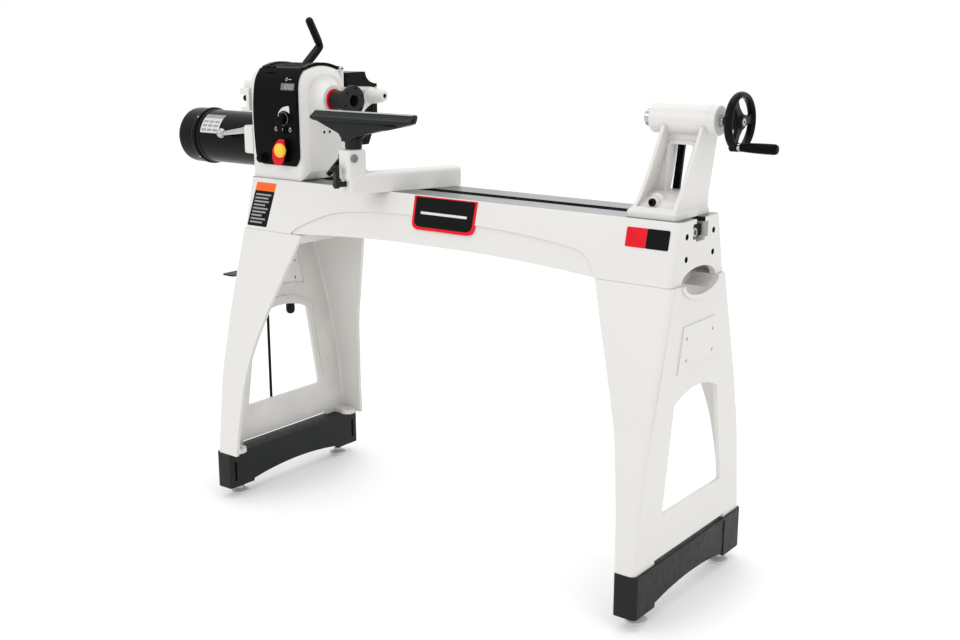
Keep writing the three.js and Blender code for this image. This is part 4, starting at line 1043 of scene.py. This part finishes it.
def direction_switch():
    at = (141, 0, 1012)
    y, crown, skirt, _ = knob_profile(7, 9, 1012)
    base = turn("y", skirt[:4] + [(7, y - 4), (6, y - 4.6), (0, y - 4.6)], at, 64)
    wing = prism("y", box_outline(138.6, 143.4, 1004, 1020, 2.4), crown, y - 4)
    piece("direction_knob", heap(base, wing), PLASTIC, "direction_switch", HEAD, ["direction_switch"],
        bevel=0.4)
    mark = block(140.5, 141.5, crown - 0.25, crown + 1, 1013, 1019)
    piece("direction_mark", mark, INK, "direction_switch", HEAD, bevel=0)


def panel_latch():
    at = (47, 0, 934)
    y, crown, skirt, cap = knob_profile(12, 15, 934)
    body = turn("y", skirt + cap, at, 72)
    grooves = []
    for k in range(6):
        place = (47 + 15 * cos(pi * k / 3), 0, 934 + 15 * sin(pi * k / 3))
        grooves.append(rod("y", 4.2, crown - 2, y - 5, place, 24))
    piece("latch_knob", cut(body, *grooves), PLASTIC, "panel_latch_knob", HEAD, ["panel_latch_knob"],
        bevel=0.8)


def stop_switch():
    x0, x1, z0, z1 = SWITCH_HOLE
    body = prism("y", box_outline(x0 + GAP, x1 - GAP, z0 + GAP, z1 - GAP, 2), -102, -75)
    piece("stop_switch_body", body, PLASTIC, "headstock", HEAD, ["switch_body"], bevel=0.8)
    outline = path((127, 989), (147, 989), (149, 955), (144, 938), ((138, 921), (120, 920), 10),
        ((104, 922), (102, 940), 10), (103, 960), ((112, 978), (127, 989), 12))[:-1]
    paddle = prism("y", outline, -112, -106)
    piece("paddle_plate", paddle, RED, "stop_paddle", HEAD, ["stop_paddle"], bevel=2.2, steps=4)
    profile = [(0, -122), (9, -121.6), (13.4, -120.8), (16.4, -119.4), (18.2, -117.4), (19, -115),
        (19, -111), (18.2, -109), (16, -108), (0, -108)]
    button = turn("y", profile, (134.6, 0, 961), 80)
    piece("paddle_button", button, YELLOW, "stop_paddle", HEAD, bevel=0.3)
    barrel = rod("x", 2.6, 128, 146, (0, -108.6, 987), 24)
    piece("paddle_hinge_rod", barrel, STEEL, "stop_paddle", HEAD, bevel=0.2)


def index_parts():
    body = prism("x", box_outline(-92, -54, 1056, 1117, 6), -33, -0.3)
    body = join(body, rod("x", 11, -30, -0.3, (0, -69, 1126)), block(-30, -0.3, -80, -58, 1110, 1126))
    body = cut(body, block(-40, -10, -98, -66, 1066, 1100), rod("y", 4.4, -78, -48, (-22, 0, AXIS_Z), 32),
        rod("z", 4, 1095, 1118, (-22, -76, 0), 24), rod("x", 3.5, -40, 0, (0, -69, 1126), 24))
    piece("index_housing", body, WHITE, "headstock", HEAD, ["index_bracket"], bevel=1.6, steps=3)
    pin = turn("y", [(0, -86), (6.4, -86), (7.6, -85.2), (8, -84), (8, -77.5), (7.4, -76.4), (4, -75),
        (4, -45), (3, -43), (0, -43)], (-22, 0, AXIS_Z), 48)
    piece("index_plunger", pin, BLACK, "index_pin", HEAD, ["index_pin"], bevel=0.4)


def tension_lever():
    pin = local("tension_lever_swing")
    half = 10
    front = [(pin.y - 7, pin.z - 5), (86, 1169), (89, 1181), (114, 1203), (140, 1225), (143, 1232),
        (135, 1246)]
    rear = [(143, 1249), (152, 1230), (151, 1216), (124, 1191), (101, 1170), (pin.y + 5, pin.z - 5)]
    strap = prism("x", spline(front, 40) + spline(rear, 40), pin.x - half, pin.x + half)
    rings = [(0, 0), (9.4, 0), (10.6, 2), (11, 6)]
    rings += [(11, 66), (10.4, 71), (8.6, 75), (5.4, 77.4), (0, 78)]
    grip = turn("z", rings, (0, 0, 0), 64)
    shaft = rod("x", 4.5, pin.x - 22, pin.x + 22, (0, pin.y, pin.z))
    piece("tension_strap", join(strap, shaft), BLACK, "tension_lever", HEAD, ["tension_lever"], bevel=2.0)
    piece("tension_grip", moved(grip, spun((pin.x, 146, 1233), 30)), GRIP, "tension_lever", HEAD, bevel=0.6)


def motor_lock_lever():
    hub_at = local("motor_lock_turn")
    arm = turn("x", [(0, -2), (8, 0), (9, 3), (8.7, 14), (7.6, 44), (6.4, 74), (6, 86), (0, 90)], (0, 0, 0),
        48)
    sweep = [radians(-90 + 7.5 * k) for k in range(1, 24)]
    ball = turn("z", [(0, -13.5)] + [(13.5 * cos(a), 13.5 * sin(a)) for a in sweep] + [(0, 13.5)],
        (-144, hub_at.y, 988), 64)
    hub = turn("y", [(0, -78.6), (4, -78.4), (7, -77.4), (8.8, -75), (9, -73), (9, -57), (4, -57), (4, -45),
        (0, -45)], (hub_at.x, 0, hub_at.z), 56)
    piece("lock_lever_arm", join(moved(arm, spun(hub_at, 171.5, "Y")), hub), CHROME, "motor_lock_lever",
        HEAD, ["motor_lock_lever"], bevel=0.6)
    piece("lock_lever_ball", ball, CHROME, "motor_lock_lever", HEAD, bevel=0)


def headstock_clamp_lever():
    at = local("headstock_clamp_turn")
    x, z = at.x, at.z
    blade = prism("y", [(x + u, z + v) for u, v in rounded([(-10, -8), (96, -6), (96, 6), (-10, 8)], 5)],
        101, 109)
    grip = turn("y", [(0, 101), (10, 101), (11, 102), (11, 110.4), (10, 111.4), (0, 111.4)], (x + 96, 0, z),
        48)
    hub = turn("y", [(0, 89), (11, 89), (11, 109), (10, 110), (0, 110)], (x, 0, z), 48)
    shaft = rod("y", 6, -66, 109, (x, 0, z))
    piece("headstock_lever", join(blade, grip, hub, shaft), BLACK, "headstock_clamp_lever", HEAD,
        ["headstock_clamp_lever"], bevel=1.0)


# ---- spindle and motor ----------------------------------------------------------------------
def turning_parts():
    spindle = turn("x", [(0, -30), (6, -30), (6, -34), (13, -34), (14, -33.4), (17, -31), (17, 233),
        (15, 234), (15, 280.4), (13.6, 282), (12.4, 282), (9, 262), (9, 245), (0, 240)], AXIS, 72)
    # Painted shade: the faces inside the spindle's front bore are near black.
    bore = (SHADOW, lambda c, n: c.x > 239 and hypot(c.y, c.z - AXIS_Z) < 12.3)
    piece("spindle_shaft", spindle, STEEL, "spindle", HEAD, ["spindle"], bevel=0.2, also=[bore])
    wheel = turn("x", [(17.3, -30), (30, -30), (34, -29), (38.6, -27.4), (40, -25), (40, -17), (38.6, -14.6),
        (30, -8), (24, -4), (17.3, -4)], AXIS, 96)
    holes = [moved(rod("y", 4.7, -45, -31, (0, 0, 0), 24), spun((-22, 0, AXIS_Z), 30 * k))
        for k in range(12)]
    piece("outboard_wheel", cut(wheel, *holes), BLACK, "spindle", HEAD, ["outboard_handwheel"], bevel=0.8)
    profile = [(15.3, 234), (23.6, 234), (25, 235.4), (25, 279), (24.6, 281), (23.6, 283.4), (23, 285.4),
        (23, 287), (39, 287), (40, 288), (40, 298.8), (38.8, 300), (17, 300), (15.3, 298.4)]
    holes = []
    for k in range(6):
        a = radians(60 * k + 20)
        centre = (0, 33 * cos(a), AXIS_Z + 33 * sin(a))
        holes.append(turn("x", [(0, 284), (2.6, 284), (2.6, 298), (4.4, 300), (4.4, 305), (0, 305)], centre,
            24))
    piece("faceplate_disc", cut(turn("x", profile, AXIS, 96), *holes), DARK, "spindle", HEAD, ["faceplate"],
        bevel=0.5)
    groove = turn("x", [(29.4, 227.4), (29.4, 231), (24, 231.4), (22, 229), (18, 229), (18, 227.4)], AXIS,
        96)
    piece("seal_lip", groove, RED, "headstock", HEAD, ["seal_ring"], bevel=0.3)


def motor_parts():
    radius = 77
    end = -279
    fan_end = -358
    tilt = local("motor_tilt")
    eye = (0, tilt.y, tilt.z)
    plate = [(-20, 905), (tilt.y, tilt.z - 13), (tilt.y + 4, tilt.z + 12), (60, 1030)]
    body = join(rod("x", 75, -12, -1, MOTOR_AT, 96), prism("x", rounded(plate, 8), -12, -1),
        rod("x", 13, -12, -1, eye))
    body = cut(body, rod("x", 20, -20, 5, MOTOR_AT), rod("x", 6.6, -20, 5, eye))
    piece("motor_mount", body, BLACK, "motor", HEAD, ["motor_plate"], bevel=1.6)
    shell = [(20, -13), (60, -13), (radius - 5, -14), (radius - 1.4, -16.5), (radius, -20), (radius, -34),
        (radius - 1.4, -36.4), (radius - 2, -38), (radius - 2, end + 16), (radius - 1.4, end + 14.4),
        (radius, end + 12), (radius, end), (14, end), (14, end + 6), (radius - 8, end + 6),
        (radius - 8, -24), (20, -24)]
    piece("motor_shell", turn("x", shell, MOTOR_AT, 112), BLACK, "motor", HEAD, ["motor_housing"], bevel=0.6)
    cover = [(76, end - 0.3), (79, end - 0.3), (80.6, end - 2.4), (81, end - 5), (81, end - 11),
        (80.4, end - 14), (79, end - 16), (78.4, fan_end + 16), (77, fan_end + 8), (73.4, fan_end + 3),
        (68, fan_end + 0.4), (12, fan_end), (12, fan_end + 3), (67, fan_end + 3.4), (72, fan_end + 6),
        (75, fan_end + 14)]
    slits = []
    for k in range(10):
        slit = prism("x", box_outline(-4, 4, 24, 60, 3.6), fan_end - 5, fan_end + 8)
        slits.append(moved(slit, spun(MOTOR_AT, 36 * k)))
    piece("fan_shroud", cut(turn("x", cover, MOTOR_AT, 112), *slits), BLACK, "motor", HEAD,
        ["motor_fan_cover"], bevel=0.5)
    screws = []
    for k in range(4):
        head = turn("z", [(0, 77), (3.4, 77), (3.4, 80.6), (2.6, 81.6), (0, 81.6)], (end - 8, 0, 0), 24)
        screws.append(moved(head, spun(MOTOR_AT, 45 + 90 * k)))
    piece("fan_shroud_screws", heap(*screws), STEEL, "motor", HEAD, bevel=0.2)
    rating_plate(radius - 2)


def around_motor(u0, u1, a0, a1, radius, proud):
    """A thin plate on the motor's shell, from angle a0 to a1 (degrees up from -Y)."""
    rings = []
    for x in (u0, u1):
        ring = []
        for r, order in ((radius + proud, 1), (radius - 1, -1)):
            arc = [radians(a0 + (a1 - a0) * k / 16) for k in range(17)][::order]
            ring += [(x, MOTOR_Y - r * cos(a), MOTOR_Z + r * sin(a)) for a in arc]
        rings.append(ring)
    return loft(rings)


def rating_plate(radius):
    blank = around_motor(-262, -186, 12, 58, radius, 0.7)
    piece("rating_plate_blank", blank, PLATE, "motor", HEAD, bevel=0.2)
    band = around_motor(-261, -187, 47, 57.4, radius, 0.85)
    piece("rating_plate_band", band, LABEL_GREY, "motor", HEAD, bevel=0)
    blocks = [around_motor(-257 + 23 * (k % 3), -239 + 23 * (k % 3), 16 + 9.6 * (k // 3),
        21 + 9.6 * (k // 3), radius, 0.85) for k in range(9)]
    piece("rating_plate_blocks", heap(*blocks), LABEL_GREY, "motor", HEAD, bevel=0)


def hidden_works():
    """The pieces inside the castings, which keep their own meshes."""
    keep("drive_belt", RUBBER, 0.8)
    for node in ("spindle_pulley", "motor_pulley"):
        keep(node, ALUMINIUM, 0.6)
    for node in ("spindle_bearing_front", "spindle_bearing_rear", "motor_rotor"):
        keep(node, STEEL, 0.6)
    keep("motor_stator", COPPER, 1.0)
    for node in ("headstock_clamp_plate", "banjo_clamp_plate", "tailstock_clamp_plate", "banjo_slider"):
        keep(node, STEEL, 0.8)
    keep("tool_rest_sleeve", STEEL, 0.4)


def headstock():
    headstock_casting()
    control_panel()
    panel_icons()
    top_cover()
    inverter_box()
    rear_arm()
    speed_knob()
    direction_switch()
    panel_latch()
    stop_switch()
    index_parts()
    tension_lever()
    motor_lock_lever()
    headstock_clamp_lever()
    turning_parts()
    motor_parts()


# ---- banjo and tool rest --------------------------------------------------------------------
ARM = {"front": -186, "back": 116, "half": 26, "bottom": BED_TOP + 0.4, "top": 930}
SOCKET = {"front": -203, "back": -154, "half": 25, "bottom": 926, "top": 988}
CLAMP_SHAFT_Z = 904
REST_LOCK = (0, -188, 968)


def banjo_casting():
    front, back, half, bottom, top = ARM.values()
    edge = 11
    section = path((-half, bottom), (half, bottom), (half, top - edge), ((half, top), (half - edge, top),
        10), (edge - half, top), ((-half, top), (-half, top - edge), 10))
    nose, heel, width, under, crown = SOCKET.values()
    plan = box_outline(-width - 3, width, nose - 3, heel + 2, 11, 10)
    middle = (nose + heel) / 2
    levels = [(under - 14, 5), (under - 12, 2), (under - 8, 0.4), (under - 4, 0), (crown - 6, 0),
        (crown - 3, 0.7), (crown - 1, 2.2), (crown, 4.5)]
    socket = stack("z", levels, lambda by: [(u * (1 - by / width), middle + (v - middle) * (1 - by / 24.5))
        for u, v in plan])
    slope = path((heel - 2, top - 3), (heel - 2, top + 22), ((heel + 4, top + 1), (heel + 24, top - 1), 10))
    web = prism("x", slope, -16, 16)
    levels = ((front - 14, 5), (front - 12.6, 2), (front - 9, 0.4), (front - 5, 0), (back, 0))
    arm = stack("y", levels, lambda by: [(u * (1 - by / half), 905 + (v - 905) * (1 - by / 25)) for u,
        v in section])
    body = join(arm, socket, web)
    body = cut(body, block(-20, 20, -148, 104, 870, 918), rod("z", 16.4, 930, 1000, (0, REST_POST_Y, 0)),
        rod("y", 7.4, nose - 10, 200, (0, 0, CLAMP_SHAFT_Z)), rod("x", 5.4, -50, 50, REST_LOCK))
    piece("banjo_arm", body, WHITE, "banjo", BANJO, ["banjo_casting"], bevel=2.0, steps=4, angle=26)
    ring = tube("z", 16.2, 19.5, crown - 0.5, crown + 0.6, (0, REST_POST_Y, 0))
    piece("socket_land", ring, STEEL, "banjo", BANJO, bevel=0.2)


def banjo_clamp_handle():
    shaft = turn("y", [(0, -231.5), (8.6, -231.2), (9.8, -229.6), (10, -228), (10, -220), (8.6, -218.2),
        (7, -217), (7, 119.5), (5.6, 121), (0, 121)], (0, 0, CLAMP_SHAFT_Z), 56)
    levels = ((-230, 1.4), (-228.4, 0), (-220.6, 0), (-219, 1.4))
    link = stack("y", levels, lambda by: rounded([(-9 + by, 896 + by), (9 - by, 896 + by),
        (8 - by, 951 - by), (-8 + by, 951 - by)], 7.4 - by))
    pin = turn("y", [(0, -240), (4.2, -240), (5, -239), (5, -228), (0, -228)], (0, 0, 942), 40)
    body = cut(join(shaft, link), rod("y", 2.6, -234, -229.5, (0, 0, CLAMP_SHAFT_Z), 24))
    piece("clamp_handle_arm", join(body, pin), DARK, "banjo_clamp_handle", BANJO, ["banjo_clamp_handle"],
        bevel=0.8)


def tool_rest():
    left, right = -128, 199
    web_outline = [(left + 4, 1062), (-118, 1056), (-30, 1026), (-22, 1014), (-20, 1000), (20, 1000),
        (24, 1012), (42, 1025), (148, 1049), (right - 6, 1058), (right, 1066), (right, 1073),
        (left + 2, 1073)]
    web = prism("y", web_outline, -6, 6)
    facet = prism("y", [(-116, 1056), (-30, 1026), (-21, 1016), (-20, 1008), (2, 1006), (14, 1013),
        (26, 1020), (46, 1026), (148, 1050), (60, 1056), (-60, 1058)], -24, 4)
    slope = prism("x", [(-15, 1056), (-21.6, 1020), (-22, 1000), (2, 1000), (2, 1056)], left, right)
    rail = path((7, 1077.6), (5.6, 1079), (-1, 1079), (-2, 1078), (-9, 1071.4), (-16, 1066.4), (-21, 1064),
        (-22, 1062), (-22, 1057), (-20.6, 1055), (-15, 1053.4), ((-7, 1050), (-6, 1038), 8), (6, 1038),
        ((6, 1048), (8, 1052), 6), (8, 1076))
    trim = [(left, 1067), (left + 3, 1060), (left + 12, 1055), (-30, 1026), (50, 1026), (right - 22, 1053),
        (right - 6, 1058), (right, 1072), (right - 2, 1085), (left + 6, 1085)]
    blade = common(prism("x", rail, left, right), prism("y", trim, -40, 40))
    neck = turn("z", [(0, 989.5), (19.6, 989.5), (20.8, 990.4), (21, 992), (21, 1012), (20.6, 1022),
        (18.4, 1036), (14, 1050), (0, 1056)], segments=80)
    body = join(blade, web, neck, common(facet, slope))
    post = turn("z", [(0, 933), (11.4, 933), (12.7, 934.4), (12.7, 995), (0, 995)], segments=72)
    piece("rest_casting", body, DARK, "tool_rest", REST, ["tool_rest"], bevel=0.9, steps=3, angle=24)
    piece("rest_post", post, STEEL, "tool_rest", REST, bevel=0.2)
    rod_on_edge = rod("x", 2.3, left + 6, right - 5, (0, -0.5, 1078.2), 24)
    piece("rest_edge_rod", rod_on_edge, STEEL, "tool_rest", REST, bevel=0.2)


def rest_lock():
    blade = stack("x", ((-38, 1.2), (-37, 0), (-30, 0), (-29, 1.2)), lambda by: rounded([(-8 + by,
        -6.4 + by), (62 - by, -5.5 + by), (62 - by, 5.5 - by), (-8 + by, 6.4 - by)], 4.6))
    hub = turn("x", [(0, -40), (9.6, -40), (11, -39), (11, -27), (9.8, -25.4), (0, -25.4)], REST_LOCK, 56)
    stud = rod("x", 5, -34, -17, REST_LOCK)
    socket = hexagon("x", 3.4, -42, -38, REST_LOCK)
    piece("rest_lock_arm", cut(join(moved(blade, spun(REST_LOCK, 225)), hub, stud), socket), BLACK,
        "tool_rest_lock_lever", BANJO, ["tool_rest_lock_lever"], bevel=0.8)
    plug = turn("x", [(0, 25.4), (9.4, 25.4), (10, 26), (10, 28.2), (9.2, 29), (0, 29)], REST_LOCK, 56)
    key = hexagon("x", 5, 26.2, 34, REST_LOCK)
    screw = cut(join(plug, rod("x", 5, 17, 27, REST_LOCK)), key)
    piece("rest_lock_screw", screw, GROUND, "banjo", BANJO, ["tool_rest_lock_plug"],
        bevel=0.3)


def carriage():
    banjo_casting()
    banjo_clamp_handle()
    tool_rest()
    rest_lock()


# ---- tailstock ------------------------------------------------------------------------------
BARREL = {"start": 9, "end": 180, "radius": 32.5, "bore": 20}
WHEEL = {"x": 223, "radius": 56, "rim": 6.5}
CRANK = (0, -25, AXIS_Z - 50)
CRANK_END = 321
QUILL_LOCK_X = 40


def tail_casting():
    start, end, radius, bore = BARREL.values()
    levels = [(880.4, 0, 124, 80), (890, 0, 124, 80), (893, 0.6, 123.5, 79.6), (897, 4, 120, 76.5),
        (903, 8, 117, 71), (904, 9.4, 115.6, 69.4)]
    rings = []
    for z, x0, x1, w in levels:
        rings.append(lift("z", box_outline(x0, x1, -w, w, 10, 8), z))
    foot = loft(rings)

    def rib(x0, x1, bow):
        heights = [(892, x0, 78), (903, x0 + 2, 73)]
        heights += [(903 + 175 * k / 12, x0 + (x1 - x0) * (k / 12) ** bow, 73 - 36 * (k / 12) ** 0.8)
            for k in range(1, 13)]
        made = []
        for z, x, w in heights:
            made.append(lift("z", box_outline(x, x + 9.5, -w, w, 2.6, 4), z))
        return loft(made)

    web = prism("y", [(18, 896), (114, 896), (153, 1078), (62, 1078)], -5, 5)
    opening = [(60, 930), (92, 930), (122, 1036), (66, 1036)]
    frame_edge = rounded([(53, 922), (98, 922), (131, 1044), (58, 1044)], 14, 8)
    rim = cut(prism("y", frame_edge, -8, 8), prism("y", rounded(opening, 9, 8), -20, 20))
    levels = ((894, -68), (902, -64), (910, -58), (918, -48), (926, -34), (934, -14))
    base = stack("z", levels, lambda front: box_outline(24, 108, front, 28))
    boss = turn("y", [(0, -64), (11, -64), (12.4, -62.6), (12.8, -58), (14, -52), (19, -46), (0, -46)],
        TAIL_CLAMP, 56)
    nose = start + 10
    profile = [(0, nose), (bore + 3, nose), (bore + 4, nose + 0.8), (radius - 4, nose + 1),
        (radius - 1.6, nose + 2.6), (radius, nose + 6), (radius, end - 17), (radius - 0.9, end - 16),
        (radius - 0.9, end - 13), (radius, end - 12), (radius, end - 3), (radius - 1, end - 1),
        (radius - 3, end), (0, end)]
    barrel = turn("x", profile, AXIS, 112)
    body = join(foot, rib(11, 57, 0.74), rib(110, 149, 0.9), cut(web, prism("y", rounded(opening, 9, 8), -20,
        20)), rim, base, boss, barrel)
    clamp = (TAIL_CLAMP[0], 0, TAIL_CLAMP[2])
    body = cut(body, rod("x", bore, nose - 5, end - 8, AXIS, 80), rod("x", 8.4, end - 20, end + 5, AXIS),
        rod("z", 9, 870, 906, (62, 0, 0)), rod("y", 7.4, -100, 100, clamp),
        rod("y", 5.4, 10, 60, (QUILL_LOCK_X, 0, AXIS_Z)))
    piece("tail_shell", body, WHITE, "tailstock", TAIL, ["tailstock_casting"], bevel=1.6, steps=4, angle=24)
    ring = tube("x", 19.7, bore + 2.4, nose - 0.3, nose + 1.2, AXIS, 80)
    piece("barrel_nose_ring", ring, STEEL, "tailstock", TAIL, bevel=0.2)


def quill_parts():
    profile = [(9.5, 4), (17.6, 4), (18.4, 4.6), (19.4, 6.4), (19.4, 140), (8.6, 140), (8.6, 60), (7.4, 56),
        (7.4, 50)]
    body = turn("x", profile, AXIS, 96)
    key = block(14, 128, -2.6, 2.6, AXIS_Z - 22, AXIS_Z - 16.6)
    wear = [tube("x", 19.28, 24, x, x + 0.4, AXIS, 72) for x in range(24, 128, 12)]
    body = cut(body, key, *wear)
    piece("quill_barrel", body, CHROME, "quill", TAIL, ["quill"], bevel=0.3)
    piece("quill_taper_shade", tube("x", 9.2, 9.6, 5, 49, AXIS, 48), STEEL, "quill", TAIL,
        bevel=0)


def tail_wheel():
    x, radius, rim = WHEEL.values()
    ring = []
    for k in range(28):
        a = 2 * pi * k / 28
        ring.append((radius + (rim + 0.4) * cos(a), x + 9.4 * sin(a)))
    hub = turn("x", [(0, 191), (14, 191), (15.6, 192), (17, 195), (17.6, 200), (17.6, 226), (16.4, 229),
        (13.6, 231.4), (11, 232), (0, 232)], AXIS, 80)
    body = join(turn("x", ring, AXIS, 120), hub)
    start = degrees(atan2(CRANK[2] - AXIS_Z, CRANK[1]))
    spokes = []
    for k in range(3):
        rings = []
        for r, half, front, back in ((6, 15, 7, 5), (17, 13, 6, 4), (30, 10, 5, 3.4), (44, 11, 5, 3.4),
                (56, 17, 6, 4.6)):
            outline = box_outline(x - front, x + back, -half, half, 3.4, 5)
            rings.append([(u, r, v) for u, v in outline])
        spokes.append(moved(loft(rings), spun(AXIS, start + 120 * k)))
    eye = turn("x", [(0, x - 8), (8.4, x - 8), (10, x - 6.4), (10, x + 8), (9, x + 9), (0, x + 9)], CRANK,
        56)
    body = cut(join(body, *spokes, eye), rod("x", 8.4, 180, 216.3, AXIS), rod("x", 4.4, 200, 240, CRANK))
    piece("tail_wheel", body, BLACK, "handwheel", TAIL, ["tailstock_handwheel"], bevel=0.7, steps=3,
        angle=32)
    cap = turn("x", [(0, 230), (8, 230), (8, 232.6), (7, 233.4), (0, 233.6)], AXIS, 48)
    key = hexagon("x", 3.4, 231.4, 236, AXIS)
    piece("wheel_screw", cut(cap, key), STEEL, "handwheel", TAIL, bevel=0.2)
    thread = [(0, 26), (6.4, 26)]
    for k in range(38):
        thread += [(6.6, 28 + 4 * k), (8, 29 + 4 * k), (8, 30.4 + 4 * k), (6.6, 31.4 + 4 * k)]
    thread += [(8, 181), (12.4, 181), (13, 181.8), (13, 188.2), (12.4, 189), (8, 189), (8, 216), (0, 216)]
    piece("feed_screw", turn("x", thread, AXIS, 56), STEEL, "handwheel", TAIL, ["lead_screw"], bevel=0)


def crank():
    x = WHEEL["x"] - 8
    stem = turn("x", [(0, x), (3.4, x), (4, x + 0.6), (4, x + 20), (0, x + 20)], CRANK, 40)
    grip = [(0, x + 24), (8.4, x + 24), (8.8, x + 26), (9.2, x + 30), (9.8, x + 38), (10.4, x + 50),
        (10.9, x + 64), (11.2, CRANK_END - 20), (11.2, CRANK_END - 8), (10.8, CRANK_END - 5),
        (9.8, CRANK_END - 2.4), (8, CRANK_END - 0.6), (5, CRANK_END), (0, CRANK_END)]
    piece("crank_grip", turn("x", grip, CRANK, 80), PLASTIC, "crank_handle", TAIL, ["crank_handle"],
        bevel=0.2)
    ferrule = turn("x", [(4, x + 17.3), (7.4, x + 17.3), (8.2, x + 18), (8.4, x + 19), (8.4, x + 24.4),
        (4, x + 24.4)], CRANK, 64)
    piece("crank_ferrule", heap(ferrule, stem), CHROME, "crank_handle", TAIL, bevel=0.2)


def tail_clamp_lever():
    x, _, z = TAIL_CLAMP
    outline = [(x - 8, z - 6), (x + 8, z - 6), (x + 11, z + 24), (x + 18, 1010), (x + 26, 1080),
        (x + 25, 1088), (x + 16, 1091), (x + 9, 1086), (x + 2, 1010), (x - 6, z + 24)]
    outline = rounded(outline, 4, 5)
    levels = ((33.5, 0.03), (34.6, 0), (40.4, 0), (41.5, 0.03))
    blade = stack("y", levels, lambda by: [(u + (x + 7 - u) * by, v + (z + 85 - v) * by * 0.25) for u,
        v in outline])
    shaft = turn("y", [(0, -70), (7.2, -70), (8.4, -68.8), (8.6, -63), (7, -62.4), (7, 44), (0, 44)],
        (x, 0, z), 56)
    hub = turn("y", [(0, 29), (10.4, 29), (11, 30), (11, 43), (10, 44), (0, 44)], (x, 0, z), 56)
    key = hexagon("y", 4, -75, -65, TAIL_CLAMP)
    piece("tail_clamp_arm", cut(join(blade, shaft, hub), key), BLACK, "tailstock_clamp_lever", TAIL,
        ["tailstock_clamp_lever"], bevel=0.6)


def quill_lock():
    at = (QUILL_LOCK_X, 0, AXIS_Z)
    outline = rounded([(-6, -62), (6, -62), (8, 8), (-8, 8)], 6)
    blade = stack("y", ((54, 1), (55, 0), (59, 0), (60, 1)), lambda by: [(QUILL_LOCK_X + u * (1 - by / 7),
        AXIS_Z - 27 + (v + 27) * (1 - by / 35)) for u, v in outline])
    hub = turn("y", [(0, 33.4), (10, 33.4), (10, 59.8), (9, 61), (0, 61)], at, 56)
    body = join(blade, hub, rod("y", 5, 22, 50, at))
    piece("quill_lock_arm", body, BLACK, "quill_lock_lever", TAIL, ["quill_lock_lever"], bevel=0.5)


def tailstock():
    tail_casting()
    quill_parts()
    tail_wheel()
    crank()
    tail_clamp_lever()
    quill_lock()


# ---- the whole machine ----------------------------------------------------------------------
make_camera()
make_studio()
stand()
headstock()
hidden_works()
carriage()
tailstock()
